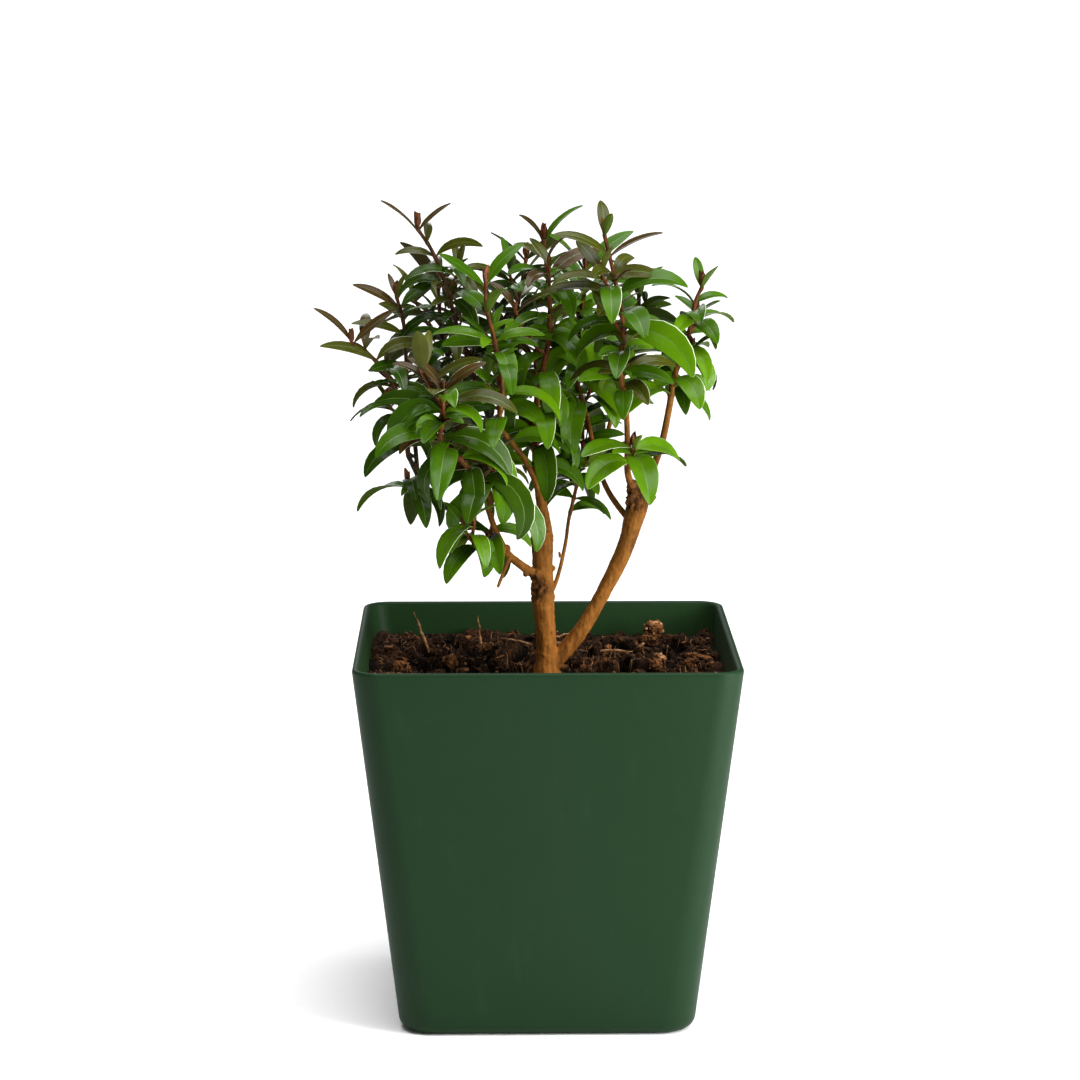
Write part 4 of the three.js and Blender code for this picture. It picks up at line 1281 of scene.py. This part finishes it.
def leaf_faces():
    """Faces of one leaf and what each belongs to: the two sides share their edge points."""
    across = len(COLUMNS)
    per_row = 2 * across - 2
    rows = len(BLADE) - 1
    tip = rows * per_row

    def upper(row, column):
        return row * per_row + column if row < rows else tip

    def lower(row, column):
        if column in (0, across - 1) or row == rows:
            return upper(row, column)
        return row * per_row + across + column - 1

    faces = []
    parts = []
    for row in range(rows):
        for column, strip in enumerate(STRIPS):
            for side, index in (("upper", upper), ("lower", lower)):
                corners = [index(row, column), index(row, column + 1)]
                corners += [index(row + 1, column + 1), index(row + 1, column)][:1 if row == rows - 1 else 2]
                faces.append(tuple(corners if side == "upper" else corners[::-1]))
                parts.append("stalk" if row == 0 else strip if side == "upper" else "under")
    foot = [lower(0, column) for column in range(across)]
    faces.append(tuple(foot + [upper(0, column) for column in range(across - 2, 0, -1)]))
    parts.append("stalk")
    return faces, parts


LEAF_FACES, LEAF_PARTS = leaf_faces()
ROW_PLACES = np.array([place for place, share in BLADE])
ROW_WIDTHS = np.array([share for place, share in BLADE])
COLUMN_PLACES = np.array(COLUMNS)
shapes = np.random.default_rng(12)


def leaf_rib(leaf, places):
    """Points and slopes along the midrib."""
    fine = np.linspace(0, 1, 41)
    slope = leaf["rise"] + (leaf["droop"] - leaf["rise"]) * fine
    steps = leaf["length"] / 40 * np.stack([np.cos(slope), np.sin(slope)], 1)
    run = np.vstack([[0, 0], np.cumsum((steps[1:] + steps[:-1]) / 2, axis=0)])
    out = np.array([math.cos(leaf["heading"]), math.sin(leaf["heading"]), 0])
    flat = np.interp(places, fine, run[:, 0])
    high = np.interp(places, fine, run[:, 1])
    points = leaf["root"] + flat[:, None] * out + high[:, None] * np.array([0, 0, 1])
    return points, leaf["rise"] + (leaf["droop"] - leaf["rise"]) * places, out


def leaf_points(leaf):
    """Points of one leaf, row by row: the upper side across, then the underside between the edges."""
    rib, slope, out = leaf_rib(leaf, ROW_PLACES)
    level = np.array([-out[1], out[0], 0])
    up = np.array([0, 0, 1])
    down = np.sin(slope)[:, None] * out - np.cos(slope)[:, None] * up
    roll = leaf["roll"] + leaf["twist"] * ROW_PLACES
    side = np.cos(roll)[:, None] * level + np.sin(roll)[:, None] * down
    normal = np.sin(roll)[:, None] * level - np.cos(roll)[:, None] * down
    rib = rib + side * (leaf["sway"] * leaf["length"] * ROW_PLACES ** 2)[:, None]
    width = leaf["length"] * leaf["width"] * leaf["breadth"]
    half = width / 2 * ROW_WIDTHS
    reach = np.abs(COLUMN_PLACES)
    fold = leaf["fold"] * reach - leaf["curl"] * reach ** 4
    wave = leaf["wave"] * np.sin(ROW_PLACES * 9 + leaf["heading"])
    points = []
    for row in range(len(BLADE) - 1):
        lift = 2 * half[row] * (fold + wave[row] * COLUMN_PLACES * reach ** 2)
        upper = rib[row] + np.outer(COLUMN_PLACES * half[row], side[row]) + np.outer(lift, normal[row])
        thin = (BLADE_THICKNESS - EDGE_THINNING * reach[1:-1]) * (1.3 - 0.7 * ROW_PLACES[row])
        lower = upper[1:-1] - np.outer(thin + RIB_THICKNESS * (reach[1:-1] < 0.1), normal[row])
        points += [upper, lower]
    points.append(rib[-1:])
    return np.concatenate(points)


def leaf_readings(count):
    """For each point: how far along and across the leaf, which margin may carry the painted highlight, how
    light its leaf is.
    """
    row = np.concatenate([COLUMN_PLACES, COLUMN_PLACES[1:-1]])
    rows = len(BLADE) - 1
    along = np.append(np.repeat(ROW_PLACES[:-1], len(row)), 1.0)
    across = np.append(np.tile(np.abs(row), rows), 0.0)
    rim = np.append(np.tile(row > 0.9, rows), True)
    shade = np.repeat(shapes.uniform(0, 1, count), len(along))
    return {
        "along": np.tile(along, count), "across": np.tile(across, count), "rim": np.tile(rim, count),
        "shade": shade}


def leaf_kinds(tone):
    """The material of each face of a leaf with this tone."""
    kinds = {"blade": 3 * tone, "under": 3 * tone + 1, "edge": 3 * tone + 2, "rib": RIB, "stalk": STALK}
    return [kinds[part] for part in LEAF_PARTS]


stem_points = np.concatenate([line[::2] for line, stem_leaves, twigs in grown.values()])
stem_owner = np.concatenate([np.full(len(line[::2]), i) for i, (line, _, _) in enumerate(grown.values())])


def is_clear(leaf, owner, taken):
    """A leaf that would pass through a limb, another mass's stem or a leaf already there is left out."""
    spine = leaf_rib(leaf, np.linspace(0.3, 1, 6))[0]
    to_limbs = np.linalg.norm(spine[:, None] - limb_points[None], axis=2) - limb_reach
    to_stems = np.linalg.norm(spine[:, None] - stem_points[None], axis=2)
    if to_limbs.min() < LIMB_GAP or to_stems[:, stem_owner != owner].min() < STEM_GAP:
        return False
    if spine[:, 2].min() < LOWEST_LEAF:
        return False
    middle = spine[1]
    gap = min(LEAF_GAP, LEAF_GAP_SHARE * leaf["length"])
    if taken and np.linalg.norm(np.array(taken) - middle, axis=1).min() < gap:
        return False
    taken.append(middle)
    return True


LEAF_GROUPS = {
    "left_front_leaves": ["left_front_foliage", "left_side_foliage", "left_low_foliage"],
    "upper_left_leaves": [
        "left_outer_foliage", "left_upper_foliage", "left_top_foliage", "back_left_foliage"],
    "centre_leaves": ["centre_foliage", "centre_left_foliage", "inner_foliage"],
    "right_leaves": ["right_foliage", "right_low_foliage", "right_centre_foliage", "inner_right_foliage"],
    "back_leaves": ["back_foliage", "back_low_foliage", "back_right_foliage"],
}
finishes = leaf_materials()
owners = list(MASSES)
taken = []
for group, names in LEAF_GROUPS.items():
    blades = Gathered()
    for name in names:
        line, stem_leaves, twigs = grown[name]
        leaves = stem_leaves + [leaf for twig_line, twig_leaves in twigs for leaf in twig_leaves]
        leaves += [leaf for shoot_line, small_leaves in fine_shoots[name] for leaf in small_leaves]
        low_tones, high_tones = MASSES[name]["tones"]
        for leaf in leaves:
            leaf["twist"] = shapes.uniform(-0.35, 0.35)
            leaf["sway"] = shapes.uniform(-0.07, 0.07)
            leaf["breadth"] = shapes.uniform(0.86, 1.12) * (1.1 - 0.6 * MASSES[name]["width"])
            leaf["breadth"] *= min(1.0, 27.0 / leaf["length"])
            leaf["fold"] = shapes.uniform(0.06, 0.2)
            leaf["curl"] = shapes.uniform(0.02, 0.09)
            leaf["wave"] = shapes.uniform(0.0, 0.03)
            choice = high_tones if shapes.uniform() < (leaf["along"] - 0.55) * 2.5 else low_tones
            tone = TONE_NAMES.index(str(shapes.choice(choice)))
            if is_clear(leaf, owners.index(name), taken):
                blades.add(leaf_points(leaf), LEAF_FACES, leaf_kinds(tone))
    leaves_piece = blades.piece(group, finishes, outward=False)
    for reading, values in leaf_readings(len(blades.points)).items():
        kept = leaves_piece.data.attributes.new(reading, "FLOAT", "POINT")
        kept.data.foreach_set("value", values.astype(np.float32))
    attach(leaves_piece, "root")
    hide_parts(*names)

# Buds at the ends of the shoots
# Each shoot ends in a closed pointed bud of two or four folded scales, red-brown to orange.
# A scale is the leaf's own blade, small, nearly upright and cupped round the shoot's end.

BUD_FINISHES = [
    # name, dark and light colour, least roughness, specular level
    ("bud_scale", (0.052, 0.016, 0.004), (0.160, 0.052, 0.013), 0.4, 0.15),
    ("bud_warm", (0.17, 0.045, 0.018), (0.33, 0.115, 0.06), 0.42, 0.5),
]
bud_finishes = []
for name, dark, light, roughness, specular in BUD_FINISHES:
    bud_finish, shader, place = new_material(name)
    drift = place.clouds(500.0, 3)
    set_finish(
        shader,
        Base_Color=drift.between(0.3, 0.7).blend(dark, light),
        Roughness=roughness + 0.15 * drift,
        Specular_IOR_Level=specular,
    )
    bud_finishes.append(bud_finish)

buds = Gathered()
for name, end, along, size in tips:
    along = along / np.linalg.norm(along)
    heading = math.atan2(along[1], along[0])
    kind = 1 if name == "left_front_foliage" and size == 1.0 else 0
    count = 4 if size == 1.0 else 2
    for i in range(count):
        turn = heading + i * 2 * math.pi / count + shapes.uniform(-0.3, 0.3)
        scale = {
            "root": end - along * 0.3, "heading": turn, "length": size * shapes.uniform(4.2, 6.4),
            "rise": 1.25, "droop": 1.62, "roll": 0.0, "twist": 0.0, "sway": 0.0,
            "width": 0.42, "breadth": 1.0, "fold": 0.42, "curl": -0.05, "wave": 0.0}
        buds.add(leaf_points(scale), LEAF_FACES, kind)
bud_piece = buds.piece("shoot_buds", bud_finishes, outward=False)
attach(bud_piece, "root")

# Studio
# A plain white floor under a broad soft light from above, with a softer key from the right and in front.
# A small lamp low on the right lifts the pot's right side and a faint one behind rims the crown.
# The camera stands where the photograph's did, a little to the left, looking slightly down.

FLOOR_REACH = 60
CAMERA_DOWN = 9.714
CAMERA_TURN = -0.756

floor_corners = [(-1, -1), (1, -1), (1, 1), (-1, 1)]
floor_mesh = bpy.data.meshes.new("floor")
floor_mesh.from_pydata([(x * FLOOR_REACH, y * FLOOR_REACH, 0) for x, y in floor_corners], [], [(0, 1, 2, 3)])
floor = bpy.data.objects.new("floor", floor_mesh)
bpy.context.scene.collection.objects.link(floor)
floor_paint, shader, place = new_material("floor_paint")
set_finish(shader, Base_Color=(0.97, 0.97, 0.97), Roughness=0.9, Specular_IOR_Level=0.1)
floor_mesh.materials.append(floor_paint)
floor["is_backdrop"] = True

world = bpy.data.worlds.new("studio")
world.use_nodes = True
backdrop = world.node_tree.nodes["Background"]
backdrop.inputs["Color"].default_value = (1, 1, 1, 1)
backdrop.inputs["Strength"].default_value = 0.18
bpy.context.scene.world = world


def hang_lamp(name, kind, strength, place, aim, **settings):
    """A lamp that the camera can't see, at a place and turned to its aim."""
    data = bpy.data.lights.new(name, kind)
    data.energy = strength
    for setting, value in settings.items():
        setattr(data, setting, value)
    lamp = bpy.data.objects.new(name, data)
    lamp.visible_camera = False
    lamp.location = place
    lamp.rotation_mode = "QUATERNION"
    lamp.rotation_quaternion = (Vector(aim) - Vector(place)).to_track_quat("-Z", "Y")
    bpy.context.scene.collection.objects.link(lamp)


hang_lamp("overhead", "SUN", 3.9, (0.10, -0.18, 2.0), (0, 0, 0), angle=math.radians(50))
hang_lamp(
    "key", "AREA", 4.3, (0.50, -0.33, 0.38), (0, 0, 0.15),
    shape="RECTANGLE", size=0.3, size_y=0.6)
hang_lamp(
    "side", "AREA", 1.6, (0.33, -0.22, 0.12), (0.05, -0.05, 0.08),
    shape="RECTANGLE", size=0.15, size_y=0.3)
hang_lamp("back", "AREA", 0.9, (-0.12, 0.68, 0.52), (0, 0, 0.2), shape="DISK", size=0.4)

camera_data = bpy.data.cameras.new("camera")
camera_data.lens = 120.02
camera_data.sensor_width = 36
camera = bpy.data.objects.new("camera", camera_data)
camera.location = (-0.0181, -1.2243, 0.3716)
camera.rotation_euler = (math.radians(90 - CAMERA_DOWN), 0, math.radians(CAMERA_TURN))
bpy.context.scene.collection.objects.link(camera)
bpy.context.scene.camera = camera
bpy.context.scene.view_settings.view_transform = "Standard"

low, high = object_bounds()
